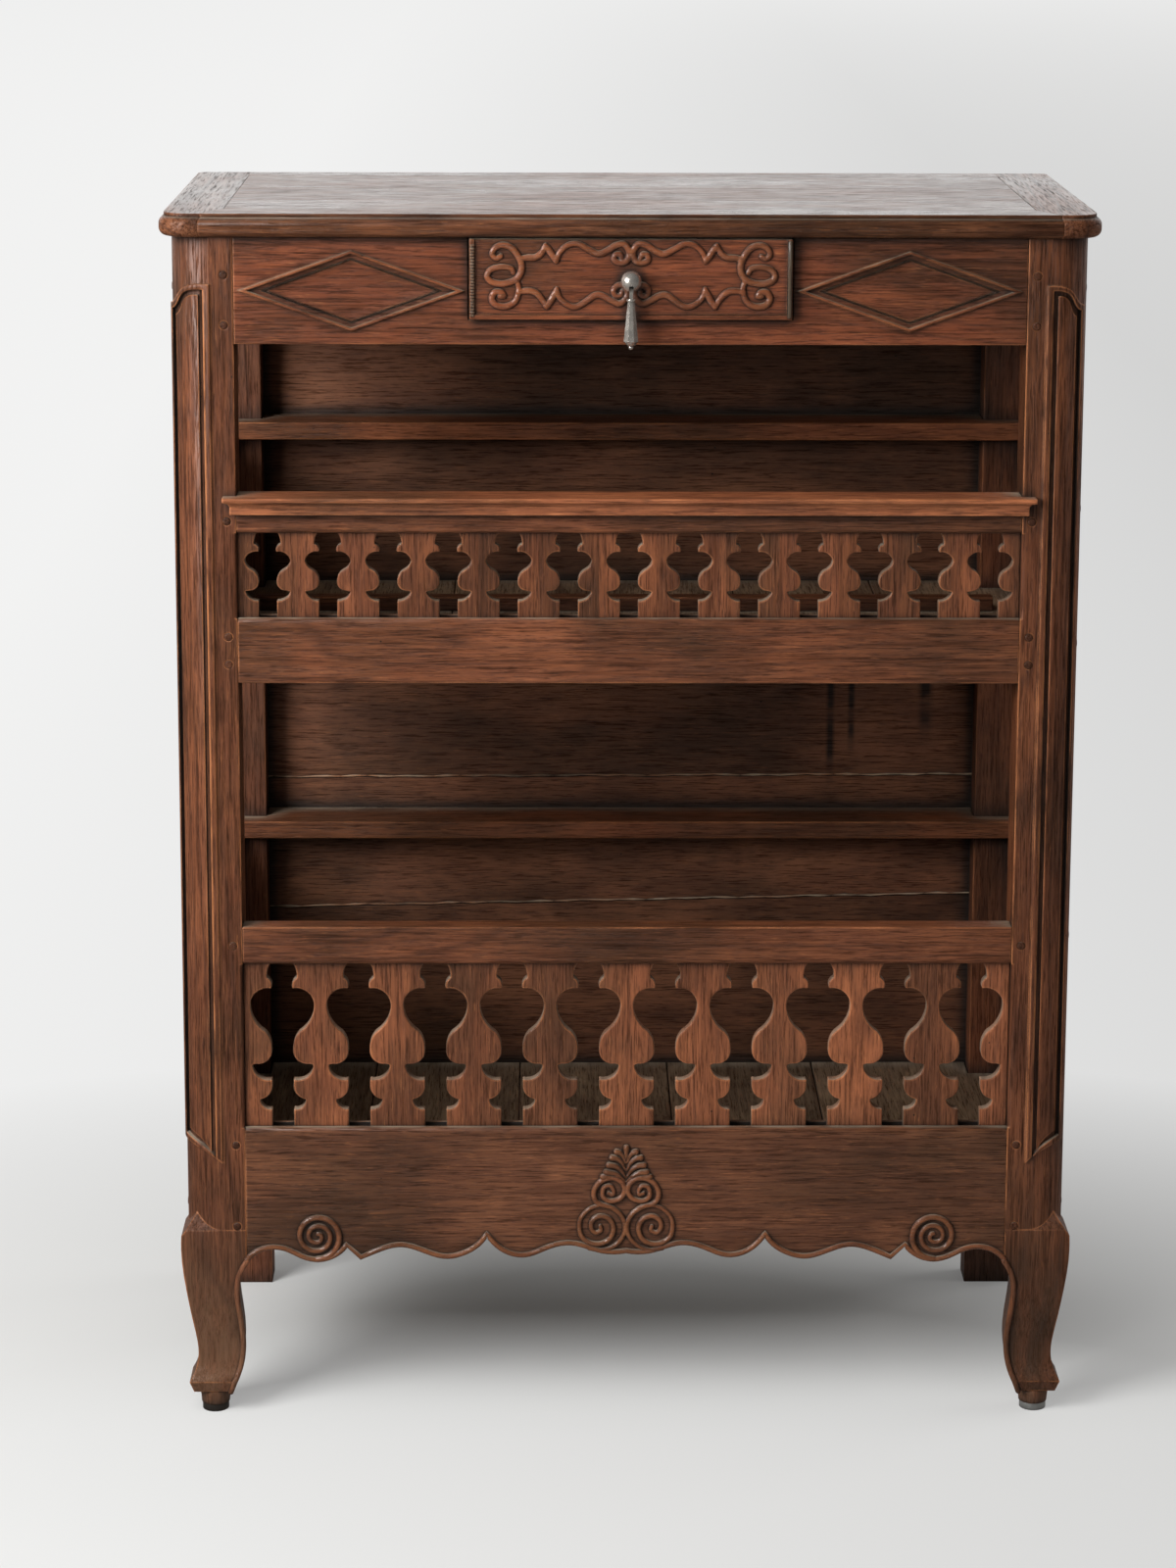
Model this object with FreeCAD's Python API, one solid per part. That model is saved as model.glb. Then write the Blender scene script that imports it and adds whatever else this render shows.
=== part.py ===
# Open kitchen dresser in waxed oak, with two sawn fretwork galleries and one small frieze drawer.
# Millimetres. X runs to the right, Y to the back, Z up, and the floor under the middle is the origin.
# The pieces are drawn with Y = 0 on the front face of the frame, and save() moves them to the origin.
import FreeCAD, Part
import math
import os

V = FreeCAD.Vector
RIGHT = V(1, 0, 0)
BACK = V(0, 1, 0)
UP = V(0, 0, 1)

# Overall sizes
overall_height = 1460.0
frame_width = 1058.0
frame_depth = 476.0

# Clearances and small allowances
fit_gap = 0.2
slide_gap = 0.3
overcut = 1.0
tiny = 0.01

# Top
top_side_overhang = 12.5
top_front_overhang = 14.0
top_back_overhang = 20.0
top_nosing = 23.0
top_nosing_round = 9.0
top_step = 4.0
top_step_inset = 6.0
top_front_corner = 36.0
top_back_corner = 16.0
cleat_width = 72.0
top_front_rail_width = 60.0
top_back_rail_width = 50.0
cleat_mitre = 25.0
plank_seam_shares = (0.32, 0.6)

# Front posts
post_width = 73.0
post_depth = 60.0
post_round = 45.0

# Cabriole legs; the shares give the S outline along the leg's height
knee_rise = 63.0
knee_swell = 5.0
knee_front_swell = 1.0
knee_stop = 24.0
knee_slope = 55.0
ankle_inset = 12.0
ankle_height = 76.0
leg_waist = 10.0
flank_waist = 6.0
toe_inset = 1.5
toe_height = 14.0
toe_round = 5.0
outer_shin = ((0.59, 0.06), (0.42, 0.66))
inner_shin = ((0.5, 1.0), (0.655, 1.15))
ankle_waist_share = 0.7
heel_waist_share = 1.7
foot_height = 27.0
foot_radius = 19.0
foot_taper = 2.0
foot_side_setback = 31.0
foot_front_setback = 26.0
glide_height = 9.0
glide_radius = 16.0

# Long raised panels on the rounded corners
panel_foot_drop = 44.0
panel_head_drop = 55.0
panel_fall = 24.0
panel_head_curve = ((0.0, 0.0), (0.3, 0.03), (0.55, 0.25), (0.78, 0.8), (1.0, 1.0))
panel_foot_curve = ((0.0, 0.0), (0.13, 0.32), (0.3, 0.57), (0.6, 0.82), (1.0, 1.0))
panel_bead = 6.0
panel_bead_proud = 2.5
panel_channel = 6.5
panel_channel_depth = 2.5
panel_start = {"left": -3.0, "right": -8.0}
panel_end = {"left": 80.0, "right": 60.0}

# Rear posts and back boards; a seam is (left, right) in shares of the overall height
rear_post_width = 72.0
rear_post_depth = 45.0
back_board = 14.0
back_board_lap = 62.0
back_board_gap = 0.6
back_foot_rise = 18.0
back_seams = ((0.3425, 0.357), (0.463, 0.466), (0.612, 0.6055), (0.7815, 0.778))

# Heights of the front members; the two open compartments share the height that is left
leg_clear = 197.0
apron_height = 168.0
lower_opening = 203.0
lower_gallery_rail_height = 46.0
shelf_rail_height = 77.0
upper_opening = 101.0
upper_gallery_rail_height = 28.0
cap_height = 16.0
frieze_height = 124.0
lower_compartment_share = 0.626

# Rails
rail_thickness = 28.0
side_rail_thickness = 24.0
side_rail_inset = 4.0
side_bottom_rail_height = 105.0
rear_rail_thickness = 25.0
rear_rail_height = 64.0
gallery_bead = 5.0

# Cap of the upper gallery
cap_reach = 15.0
cap_projection = 19.0
cap_lower_projection = 11.0
cap_fillet = 5.0
cove_rise_share = 0.6
cove_reach_share = 0.3

# Scalloped edge of the apron, from the middle to the post: runs of points that meet in cusps.
# A point is its share of half the opening's width and its height above the apron's foot.
apron_runs = (
    ((0.0, 11.0), (0.035, 9.5), (0.065, 11.0), (0.1, 16.0), (0.144, 21.0), (0.21, 15.0), (0.264, 6.0),
     (0.31, 9.0), (0.345, 20.0), (0.367, 33.0)),
    ((0.367, 33.0), (0.39, 19.0), (0.43, 8.0), (0.474, 4.0), (0.53, 11.0), (0.594, 19.0), (0.65, 13.0),
     (0.699, 3.0)),
    ((0.699, 3.0), (0.737, 19.0)),
    ((0.737, 19.0), (0.765, 6.5), (0.811, 0.0), (0.855, 4.5), (0.89, 12.5), (0.93, 16.0), (0.968, 12.0),
     (1.0, 0.0)),
)

# Pegged mortise and tenon joints
tenon_thickness = 9.0
tenon_length = 38.0
tenon_shoulder = 7.0
side_tenon_length = 26.0
peg_radius = 4.5
peg_proud = 0.8
peg_setback = 11.0
peg_end_inset = 22.0

# Sawn splats
splat_thickness = 14.0
splat_setback = 8.0
splat_tongue = 8.0
upper_splat_spaces = 13
lower_splat_spaces = 10
upper_splat_share = 0.7
lower_splat_share = 0.72

# Half outline of a splat from its foot: shares of its half width and of the opening's height.
# A pair is the end of a straight run, and two pairs are the middle and end of an arc.
upper_splat = (
    (1.0, 0.192), ((0.537, 0.232), (0.366, 0.302)), (0.61, 0.312), ((0.943, 0.361), (1.0, 0.432)),
    ((0.919, 0.5), (0.691, 0.554)), ((0.447, 0.604), (0.346, 0.667)), ((0.549, 0.743), (1.0, 0.768)),
    ((1.0, 0.822), (0.801, 0.859)), ((0.837, 0.936), (0.967, 1.0)),
)
lower_splat = (
    (1.0, 0.1015), ((0.682, 0.116), (0.555, 0.161)), ((0.879, 0.19), (1.0, 0.252)), (1.0, 0.284),
    ((0.47, 0.305), (0.285, 0.374)), (0.424, 0.379), ((0.879, 0.406), (1.0, 0.473)),
    ((0.955, 0.527), (0.773, 0.576)), ((0.379, 0.645), (0.233, 0.731)), ((0.439, 0.815), (1.0, 0.841)),
    ((1.0, 0.882), (0.845, 0.908)), ((0.873, 0.956), (1.0, 1.0)),
)

# Shelves, ledges and side boards; a shelf's seams are shares of its half width
shelf_thickness = 18.0
shelf_lip = 9.0
shelf_groove = 9.0
shelf_notch_gap = 1.2
lower_shelf_drop = 76.0
upper_shelf_seams = (-0.69, -0.425, -0.06, 0.28, 0.635)
lower_shelf_seams = (-0.635, -0.26, 0.125, 0.505)
shelf_board_gap = 1.2
ledge_thickness = 22.0
ledge_front = 30.0
side_board = 10.0
side_board_groove = 8.0
stop_height = 18.0
stop_depth = 22.0
stop_front = 150.0

# Drawer
drawer_width = 370.0
drawer_height = 93.0
drawer_front_thickness = 22.0
drawer_proud = 8.0
drawer_side = 11.0
drawer_side_drop = 21.0
drawer_end_room = 77.0
drawer_bottom = 7.0
drawer_bottom_lift = 9.0
drawer_gap = 1.0
drawer_bead = 6.0
drawer_bead_proud = 2.5
runner_width = 30.0
runner_thickness = 20.0
runner_seat = 6.0
guide_width = 10.0
guide_height = 16.0

# Ball and drop pull
pull_rise = 46.0
ball_radius = 11.8
ball_standoff = 14.0
stem_radius = 4.0
rose_height = 3.0
rose_base_radius = 8.0
rose_neck_radius = 6.0
nut_radius = 8.0
nut_thickness = 6.0
pin_radius = 1.5
pin_gap = 0.05
pin_drop = 8.3
tongue_thickness = 4.0
tongue_width = 6.4
tongue_slot_gap = 0.5
collar_distance = 12.0
collar_radius = 5.0
collar_height = 2.5
drop_length = 46.0
drop_top_radius = 4.0
drop_low_radius = 9.0
drop_facets = 8
dome_height = 5.0
dome_top_radius = 8.4
dome_low_radius = 4.0
finial_radius = 3.0
finial_fall = 2.1

# Carved lozenges on the frieze
lozenge_side_margin = 5.5
lozenge_end_margin = 15.5
lozenge_rim = 3.5
lozenge_proud = 3.0
lozenge_fillet = 2.2
lozenge_fillet_share = 0.8
lozenge_fillet_sink = 0.4
lozenge_field_share = 0.55
lozenge_depth = 3.5

# Derived places across
half = frame_width / 2
opening_half = half - post_width
top_half = half + top_side_overhang
rear_inner = half - rear_post_width
side_outer = half - side_rail_inset
side_inner = side_outer - side_rail_thickness
side_middle = (side_outer + side_inner) / 2
lozenge_offset = (drawer_width / 2 + opening_half) / 2
lozenge_half_width = (opening_half - drawer_width / 2) / 2 - lozenge_side_margin
lozenge_half_height = frieze_height / 2 - lozenge_end_margin

# Derived heights, from the floor up
apron_foot = leg_clear
apron_top = apron_foot + apron_height
leg_height = apron_foot + knee_rise
lower_gallery_foot = apron_top + lower_opening
lower_gallery_top = lower_gallery_foot + lower_gallery_rail_height
top_foot = overall_height - top_nosing - top_step
frieze_foot = top_foot - frieze_height
upper_gallery_stack = shelf_rail_height + upper_opening + upper_gallery_rail_height + cap_height
open_height = frieze_foot - lower_gallery_top - upper_gallery_stack
shelf_rail_foot = lower_gallery_top + lower_compartment_share * open_height
shelf_rail_top = shelf_rail_foot + shelf_rail_height
upper_gallery_foot = shelf_rail_top + upper_opening
cap_foot = upper_gallery_foot + upper_gallery_rail_height
cap_top = cap_foot + cap_height
upper_shelf_foot = shelf_rail_foot + shelf_lip
upper_shelf_top = upper_shelf_foot + shelf_thickness
lower_shelf_foot = apron_top - lower_shelf_drop - shelf_thickness
panel_foot = apron_top - panel_foot_drop
panel_head = top_foot - panel_head_drop
drawer_top = top_foot - drawer_gap
drawer_foot = drawer_top - drawer_height
runner_foot = drawer_foot - runner_thickness
pull_height = drawer_foot + pull_rise
pin_height = pull_height - pin_drop

# Derived depths, from the frame's front face back
rear_face = frame_depth - rear_post_depth
rear_rail_y = rear_face + (rear_post_depth - rear_rail_thickness) / 2
tenon_y = (rail_thickness - tenon_thickness) / 2
rear_tenon_y = rear_rail_y + (rear_rail_thickness - tenon_thickness) / 2
front_side_peg_y = post_depth - peg_setback
rear_side_peg_y = rear_face + peg_setback
drawer_face = -drawer_proud
drawer_inner = drawer_face + drawer_front_thickness
drawer_end = rear_rail_y - drawer_end_room
ball_y = drawer_face - ball_standoff
front_reach = max(ball_radius - ball_y, top_front_overhang)
back_reach = frame_depth + max(top_back_overhang, back_board)
to_origin = V(0, (front_reach - back_reach) / 2, 0)

# Rails by level: a front rail is (foot, top, heights of its pegs), the others are (foot, top)
front_rails = {
    "frieze": (frieze_foot, top_foot, (frieze_foot + peg_end_inset, top_foot - 2 * peg_end_inset)),
    "upper_gallery": (upper_gallery_foot, cap_foot, ((upper_gallery_foot + cap_foot) / 2,)),
    "shelf": (shelf_rail_foot, shelf_rail_top,
              (shelf_rail_foot + peg_end_inset, shelf_rail_top - peg_end_inset)),
    "lower_gallery": (lower_gallery_foot, lower_gallery_top,
                      ((lower_gallery_foot + lower_gallery_top) / 2,)),
    "apron": (apron_foot, apron_top, (apron_top - peg_end_inset, apron_foot + 2 * peg_end_inset)),
}
side_rails = {
    "top": (frieze_foot, top_foot),
    "upper_gallery": (upper_gallery_foot, cap_top),
    "shelf": (shelf_rail_foot, shelf_rail_top),
    "lower_gallery": (lower_gallery_foot, lower_gallery_top),
    "bottom": (apron_foot + tenon_shoulder, apron_foot + tenon_shoulder + side_bottom_rail_height),
}
rear_rails = {
    "top": (runner_foot - runner_seat, top_foot),
    "shelf": (upper_shelf_foot - rear_rail_height, upper_shelf_foot),
    "bottom": (lower_shelf_foot - rear_rail_height, lower_shelf_foot),
}
side_boards = {
    "upper": (side_rails["shelf"][1], side_rails["upper_gallery"][0]),
    "lower": (side_rails["bottom"][1], side_rails["lower_gallery"][0]),
}
nodes = {}


def save(name, shape):
    """Keep one node's solids, moved from the frame's front face to the origin."""
    nodes[name] = shape.translated(to_origin)


def box(x0, x1, y0, y1, z0, z1):
    """A block between two corners, given in any order along X."""
    return Part.makeBox(abs(x1 - x0), y1 - y0, z1 - z0, V(min(x0, x1), y0, z0))


def rod(radius, length, place, direction):
    """A round bar from a place along a direction."""
    return Part.makeCylinder(radius, length, place, direction)


def mirrored(shape):
    """The left-hand copy of a right-hand shape."""
    return shape.mirror(V(0, 0, 0), RIGHT)


def on_side(shape, side):
    """A right-hand shape, mirrored where the left one is wanted."""
    return mirrored(shape) if side == "left" else shape


def both_sides(shape):
    """A right-hand shape and its left-hand copy."""
    return [shape, mirrored(shape)]


def flat(point):
    """A pair of X and Z as a point on the frame's front face."""
    return V(point[0], 0, point[1])


def spline(points):
    """A smooth edge through points."""
    curve = Part.BSplineCurve()
    curve.interpolate(points)
    return curve.toShape()


def lines(points):
    """Straight edges along points."""
    return [Part.makeLine(a, b) for a, b in zip(points, points[1:])]


def face_of(edges):
    """A flat face inside edges given in any order."""
    return Part.Face(Part.Wire(Part.__sortEdges__(edges)))


def outline(start, steps):
    """Closed edges from a start point: a pair is a straight run, two pairs are an arc's middle and end."""
    edges = []
    here = start
    for step in steps:
        if isinstance(step[0], tuple):
            middle, end = step
            edges.append(Part.Arc(flat(here), flat(middle), flat(end)).toShape())
        else:
            end = step
            edges.append(Part.makeLine(flat(here), flat(end)))
        here = end
    edges.append(Part.makeLine(flat(here), flat(start)))
    return edges


def sawn(edges, y0, y1):
    """A board sawn to an outline in the X-Z plane, between two depths."""
    return face_of(edges).translated(V(0, y0, 0)).extrude(V(0, y1 - y0, 0))


def polygon_board(points, z0, z1):
    """A board cut to a polygon in plan."""
    corners = [V(x, y, z0) for x, y in points]
    return face_of(lines(corners + corners[:1])).extrude(V(0, 0, z1 - z0))


def fused(shapes):
    """One solid from pieces that touch, with the seams between them removed."""
    return shapes[0].multiFuse(shapes[1:]).removeSplitter().Solids[0]


def cut_all(shape, tools):
    """A shape with several others cut from it."""
    return shape.cut(Part.makeCompound(tools))


def peg_hole(z, y0, y1):
    """The right-hand bore for a front peg."""
    return rod(peg_radius + fit_gap, y1 - y0, V(opening_half + peg_setback, y0, z), BACK)


def front_tenon(foot, top, gap):
    """The right-hand tenon of a front rail, or with a gap its mortise."""
    return box(opening_half, opening_half + tenon_length + gap, tenon_y - gap,
               tenon_y + tenon_thickness + gap, foot + tenon_shoulder - gap, top - tenon_shoulder + gap)


def side_tenon(foot, top, y0, y1, gap):
    """A side rail's tenon along Y, or with a gap its mortise."""
    return box(side_middle - tenon_thickness / 2 - gap, side_middle + tenon_thickness / 2 + gap,
               y0, y1, foot + tenon_shoulder - gap, top - tenon_shoulder + gap)


def rear_tenon(foot, top, gap):
    """The right-hand tenon of a rear rail, or with a gap its mortise."""
    return box(rear_inner, rear_inner + tenon_length + gap, rear_tenon_y - gap,
               rear_tenon_y + tenon_thickness + gap, foot + tenon_shoulder - gap,
               top - tenon_shoulder + gap)


def side_peg(y, foot, top, gap, proud):
    """A right-hand peg driven into a side rail from outside, or with a gap its bore."""
    depth = side_rail_thickness + side_rail_inset
    return rod(peg_radius + gap, depth + proud, V(half - depth, y, (foot + top) / 2), RIGHT)


def side_peg_bores(y):
    """The bores for the side pegs at one depth."""
    return [side_peg(y, foot, top, fit_gap, overcut) for foot, top in side_rails.values()]


def leg_profile(width, waist, swell):
    """The S outline of one face of the leg, drawn inwards from its outer edge and up from the floor."""
    outer = [V(0, 0, leg_height), V(-swell, 0, apron_foot)]
    outer += [V(share * ankle_inset, 0, rise * leg_height) for rise, share in outer_shin]
    outer.append(V(ankle_inset, 0, ankle_height))
    outer.append(V(toe_inset, 0, foot_height + toe_height))
    inner = [V(width - heel_waist_share * waist, 0, foot_height + toe_height)]
    inner.append(V(width - ankle_waist_share * waist, 0, ankle_height))
    inner += [V(width - share * waist, 0, rise * leg_height) for rise, share in inner_shin]
    inner.append(V(width, 0, apron_foot))
    toe = V(toe_inset + toe_round, 0, foot_height)
    heel = V(inner[0].x - toe_round, 0, foot_height)
    edges = [spline(outer), spline(inner)]
    edges += lines([outer[-1], toe, heel, inner[0]])
    edges += lines([inner[-1], V(width, 0, leg_height), outer[0]])
    return face_of(edges)


def cabriole_leg():
    """The right-hand leg, sawn to an S outline on two faces, its square corner hipped off at the knee."""
    reach = 3 * max(post_width, post_depth)
    front = mirrored(leg_profile(post_width, leg_waist, knee_swell)).translated(V(half, -reach / 2, 0))
    flank = leg_profile(post_depth, flank_waist, knee_front_swell).rotated(V(0, 0, 0), UP, 90)
    flank = flank.translated(V(half - reach / 2, 0, 0))
    leg = front.extrude(V(0, reach, 0)).common(flank.extrude(V(reach, 0, 0)))
    stops = []
    for hinge in (RIGHT, BACK):
        stop = Part.makeBox(reach, reach, reach, V(-reach / 2, -reach / 2, 0))
        stop.rotate(V(0, 0, 0), hinge, knee_slope)
        stops.append(stop.translated(V(half, 0, leg_height - knee_stop)))
    return cut_all(leg, stops)


def corner_panel(side):
    """The bead to add to a rounded corner, and the channel to cut from it, on the right hand."""
    first = math.radians(panel_start[side])
    last = math.radians(panel_end[side])
    middle = (first + last) / 2
    reach = post_round * math.sin((last - first) / 2)
    axis = V(half - post_round, post_round, 0)
    out = V(math.sin(middle), -math.cos(middle), 0)
    across = V(math.cos(middle), math.sin(middle), 0)
    turn = FreeCAD.Rotation(across, UP.cross(across), UP, "XYZ")

    def curved_end(curve, x0, z0, x1, z1):
        """A curved end of the panel between two corners."""
        return spline([V(x0 + a * (x1 - x0), 0, z0 + b * (z1 - z0)) for a, b in curve])

    def panel_prism(inset):
        """A prism of the panel's outline, drawn in by an inset."""
        left = inset - reach
        right = reach - inset
        foot = panel_foot + inset
        head = panel_head - inset
        edges = [curved_end(panel_head_curve, left, head, right, head - panel_fall),
                 curved_end(panel_foot_curve, left, foot, right, foot + panel_fall)]
        edges += lines([V(left, 0, foot), V(left, 0, head)])
        edges += lines([V(right, 0, foot + panel_fall), V(right, 0, head - panel_fall)])
        face = face_of(edges)
        face.Placement = FreeCAD.Placement(axis, turn)
        return face.extrude(out * (2 * post_round))

    outer = rod(post_round + panel_bead_proud, overall_height, axis, UP)
    skin = outer.cut(rod(post_round - panel_channel_depth, overall_height, axis, UP))
    flat_skin = box(opening_half, axis.x, -panel_bead_proud, panel_channel_depth, 0, overall_height)
    skin = skin.cut(box(opening_half - half, axis.x, -half, half, 0, overall_height)).fuse(flat_skin)
    bead = panel_prism(0).cut(panel_prism(panel_bead))
    channel = panel_prism(panel_bead).cut(panel_prism(panel_bead + panel_channel))
    return bead.common(skin), channel.common(skin)


def gallery_edge(foot, top):
    """The waste cut from a right-hand post's inner edge, which leaves a quarter round."""
    corner = box(opening_half - overcut, opening_half + gallery_bead, -overcut, gallery_bead, foot, top)
    return corner.cut(rod(gallery_bead, top - foot, V(opening_half + gallery_bead, gallery_bead, foot), UP))


def board_groove(foot, top, y0, y1):
    """The groove that holds a right-hand side board."""
    return box(side_middle - side_board / 2 - fit_gap, side_middle + side_board / 2 + fit_gap,
               y0, y1, foot - side_board_groove, top + side_board_groove)


def front_post(side):
    """A front post with a rounded corner, raised panel, cabriole leg, mortises and grooves."""
    bend = math.sqrt(0.5) * post_round
    corner = Part.Arc(V(half - post_round, 0, 0), V(half - post_round + bend, post_round - bend, 0),
                      V(half, post_round, 0)).toShape()
    square = lines([V(half, post_round, 0), V(half, post_depth, 0), V(opening_half, post_depth, 0),
                    V(opening_half, 0, 0), V(half - post_round, 0, 0)])
    section = face_of([corner] + square)
    shaft = section.translated(V(0, 0, apron_foot)).extrude(V(0, 0, top_foot - apron_foot))
    bead, channel = corner_panel(side)
    post = fused([shaft.cut(channel), bead, cabriole_leg()])
    cuts = side_peg_bores(front_side_peg_y)
    for foot, top, pegs in front_rails.values():
        cuts.append(front_tenon(foot, top, fit_gap))
        cuts += [peg_hole(z, -overcut, rail_thickness + peg_setback) for z in pegs]
    for foot, top in side_rails.values():
        cuts.append(side_tenon(foot, top, post_depth - side_tenon_length - fit_gap, post_depth, fit_gap))
    for foot, top in side_boards.values():
        cuts.append(board_groove(foot, top, post_depth - side_board_groove - fit_gap, post_depth))
    cuts.append(gallery_edge(shelf_rail_top, upper_gallery_foot))
    cuts.append(gallery_edge(apron_top, lower_gallery_foot))
    return on_side(cut_all(post, cuts), side)


def rear_post():
    """The right-hand rear post, plain and straight to the floor."""
    post = box(rear_inner, half, rear_face, frame_depth, 0, top_foot)
    cuts = side_peg_bores(rear_side_peg_y)
    cuts += [rear_tenon(foot, top, fit_gap) for foot, top in rear_rails.values()]
    for foot, top in side_rails.values():
        cuts.append(side_tenon(foot, top, rear_face, rear_face + side_tenon_length + fit_gap, fit_gap))
    for foot, top in side_boards.values():
        cuts.append(board_groove(foot, top, rear_face, rear_face + side_board_groove + fit_gap))
    return cut_all(post, cuts)


def front_rail(key, body):
    """A front rail from its shaped body, with a tenon at both ends and peg holes."""
    foot, top, pegs = front_rails[key]
    rail = fused([body] + both_sides(front_tenon(foot, top, 0)))
    return cut_all(rail, [hole for z in pegs for hole in both_sides(peg_hole(z, 0, rail_thickness))])


def plain_front(key):
    """The square body of a front rail between the posts."""
    foot, top, _ = front_rails[key]
    return box(-opening_half, opening_half, 0, rail_thickness, foot, top)


def splat_groove(z0, z1):
    """The groove for the splats' tongues."""
    return box(-opening_half, opening_half, splat_setback - fit_gap,
               splat_setback + splat_thickness + fit_gap, z0, z1)


def groove_above(z):
    """The splat groove in a rail whose lower edge is at a height."""
    return splat_groove(z, z + splat_tongue + fit_gap)


def groove_below(z):
    """The splat groove in a rail whose upper edge is at a height."""
    return splat_groove(z - splat_tongue - fit_gap, z)


def beaded_edge(body, z):
    """A rail body with the quarter-round edge that faces the gallery at a height."""
    edges = []
    for edge in body.Edges:
        ends = [vertex.Point for vertex in edge.Vertexes]
        if all(abs(p.y) < tiny and abs(p.z - z) < tiny for p in ends):
            edges.append(edge)
    return body.makeFillet(gallery_bead, edges)


def apron_body():
    """The apron board, scalloped along its lower edge."""
    right = []
    for run in apron_runs:
        points = [V(share * opening_half, 0, apron_foot + rise) for share, rise in run]
        right += lines(points) if len(points) == 2 else [spline(points)]
    left = [mirrored(edge) for edge in right]
    ends = [V(opening_half, 0, apron_foot), V(opening_half, 0, apron_top), V(-opening_half, 0, apron_top),
            V(-opening_half, 0, apron_foot)]
    return sawn(right + left + lines(ends), 0, rail_thickness)


def lozenge(centre, share, proud):
    """A rhombus on the frieze face at a share of its full size, as a wire in front of the face."""
    wide = share * lozenge_half_width
    tall = share * lozenge_half_height
    middle = (frieze_foot + top_foot) / 2
    points = [V(centre + wide, -proud, middle), V(centre, -proud, middle + tall),
              V(centre - wide, -proud, middle), V(centre, -proud, middle - tall)]
    return Part.makePolygon(points + points[:1])


def lozenge_ring(centre, share, width, depth, proud):
    """A rhombus rim of one width, from a depth in the frieze to its height in front of the face."""
    across = lozenge_half_width * lozenge_half_height / math.hypot(lozenge_half_width, lozenge_half_height)
    inside = Part.Face(lozenge(centre, share - width / across, -depth))
    return Part.Face(lozenge(centre, share, -depth)).cut(inside).extrude(V(0, -depth - proud, 0))


def carve_lozenge(body, centre):
    """The frieze with a sunk rhombus: a raised rim, a slope parted by a fillet, and a flat field."""
    hollow = Part.makeLoft([lozenge(centre, 1, 0),
                            lozenge(centre, lozenge_field_share, -lozenge_depth)], True, True)
    rim = lozenge_ring(centre, 1, lozenge_rim, lozenge_depth, lozenge_proud)
    fillet = lozenge_ring(centre, lozenge_fillet_share, lozenge_fillet, lozenge_depth, -lozenge_fillet_sink)
    return fused([body.cut(hollow), rim, fillet])


def frieze_body():
    """The frieze rail, notched from above for the drawer and carved with two lozenges."""
    notch_half = drawer_width / 2 + drawer_gap
    notch = box(-notch_half, notch_half, -overcut, rail_thickness + overcut, drawer_foot - drawer_gap,
                top_foot + overcut)
    body = plain_front("frieze").cut(notch)
    return carve_lozenge(carve_lozenge(body, lozenge_offset), -lozenge_offset)


def cap_moulding():
    """The cap of the upper gallery, coved below its top fillet, with mitred returns over the posts."""
    reach = opening_half + cap_reach
    step = cap_projection - cap_lower_projection
    cove_top = cap_top - cap_fillet
    cove_foot = cap_foot + cap_fillet
    cove_middle = cove_foot + cove_rise_share * (cove_top - cove_foot)

    def level(share, z):
        """A rectangle in front of the frame, at a share of the step from lower to upper projection."""
        length = reach - (1 - share) * step
        front = -cap_lower_projection - share * step
        points = [V(-length, 0, z), V(-length, front, z), V(length, front, z), V(length, 0, z)]
        return Part.makePolygon(points + points[:1])

    upper = Part.Face(level(1, cove_top)).extrude(V(0, 0, cap_fillet))
    cove = Part.makeLoft([level(0, cove_foot), level(cove_reach_share, cove_middle), level(1, cove_top)],
                         True, True)
    lower = Part.Face(level(0, cap_foot - cap_fillet)).extrude(V(0, 0, 2 * cap_fillet))
    ledge = box(-opening_half, opening_half, 0, rail_thickness + gallery_bead, cap_foot, cap_top)
    return fused([upper, cove, lower, ledge])


def gallery(shares, foot, height, spaces, width_share):
    """A row of sawn splats in an opening, with a half splat against each post."""
    pitch = 2 * opening_half / spaces
    wide = width_share * pitch / 2

    def scaled(step):
        """A step of the outline in millimetres."""
        if isinstance(step[0], tuple):
            return tuple(scaled(pair) for pair in step)
        return step[0] * wide, step[1] * height

    steps = [scaled(step) for step in shares]
    head = steps[-1][-1][0]
    around = [(wide, -splat_tongue)] + steps + [(head, height + splat_tongue), (0, height + splat_tongue)]
    right_half = sawn(outline((0, -splat_tongue), around), splat_setback, splat_setback + splat_thickness)
    left_half = mirrored(right_half)
    whole = fused([right_half, left_half])
    row = [right_half.translated(V(-opening_half, 0, foot)), left_half.translated(V(opening_half, 0, foot))]
    row += [whole.translated(V(n * pitch - opening_half, 0, foot)) for n in range(1, spaces)]
    return Part.makeCompound(row)


def side_rail(foot, top):
    """The right-hand side rail between the posts, tenoned at both ends and grooved for the side boards."""
    lap = side_board_groove + fit_gap
    body = box(side_inner, side_outer, post_depth, rear_face, foot, top)
    ends = [side_tenon(foot, top, post_depth - side_tenon_length, post_depth, 0),
            side_tenon(foot, top, rear_face, rear_face + side_tenon_length, 0)]
    cuts = [side_peg(y, foot, top, fit_gap, overcut) for y in (front_side_peg_y, rear_side_peg_y)]
    cuts += [board_groove(*levels, post_depth - lap, rear_face + lap) for levels in side_boards.values()]
    return cut_all(fused([body] + ends), cuts)


def side_panel(foot, top):
    """The right-hand board held in the grooves of its rails and posts."""
    lap = side_board_groove - fit_gap
    return box(side_middle - side_board / 2, side_middle + side_board / 2, post_depth - lap, rear_face + lap,
               foot - lap, top + lap)


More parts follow.
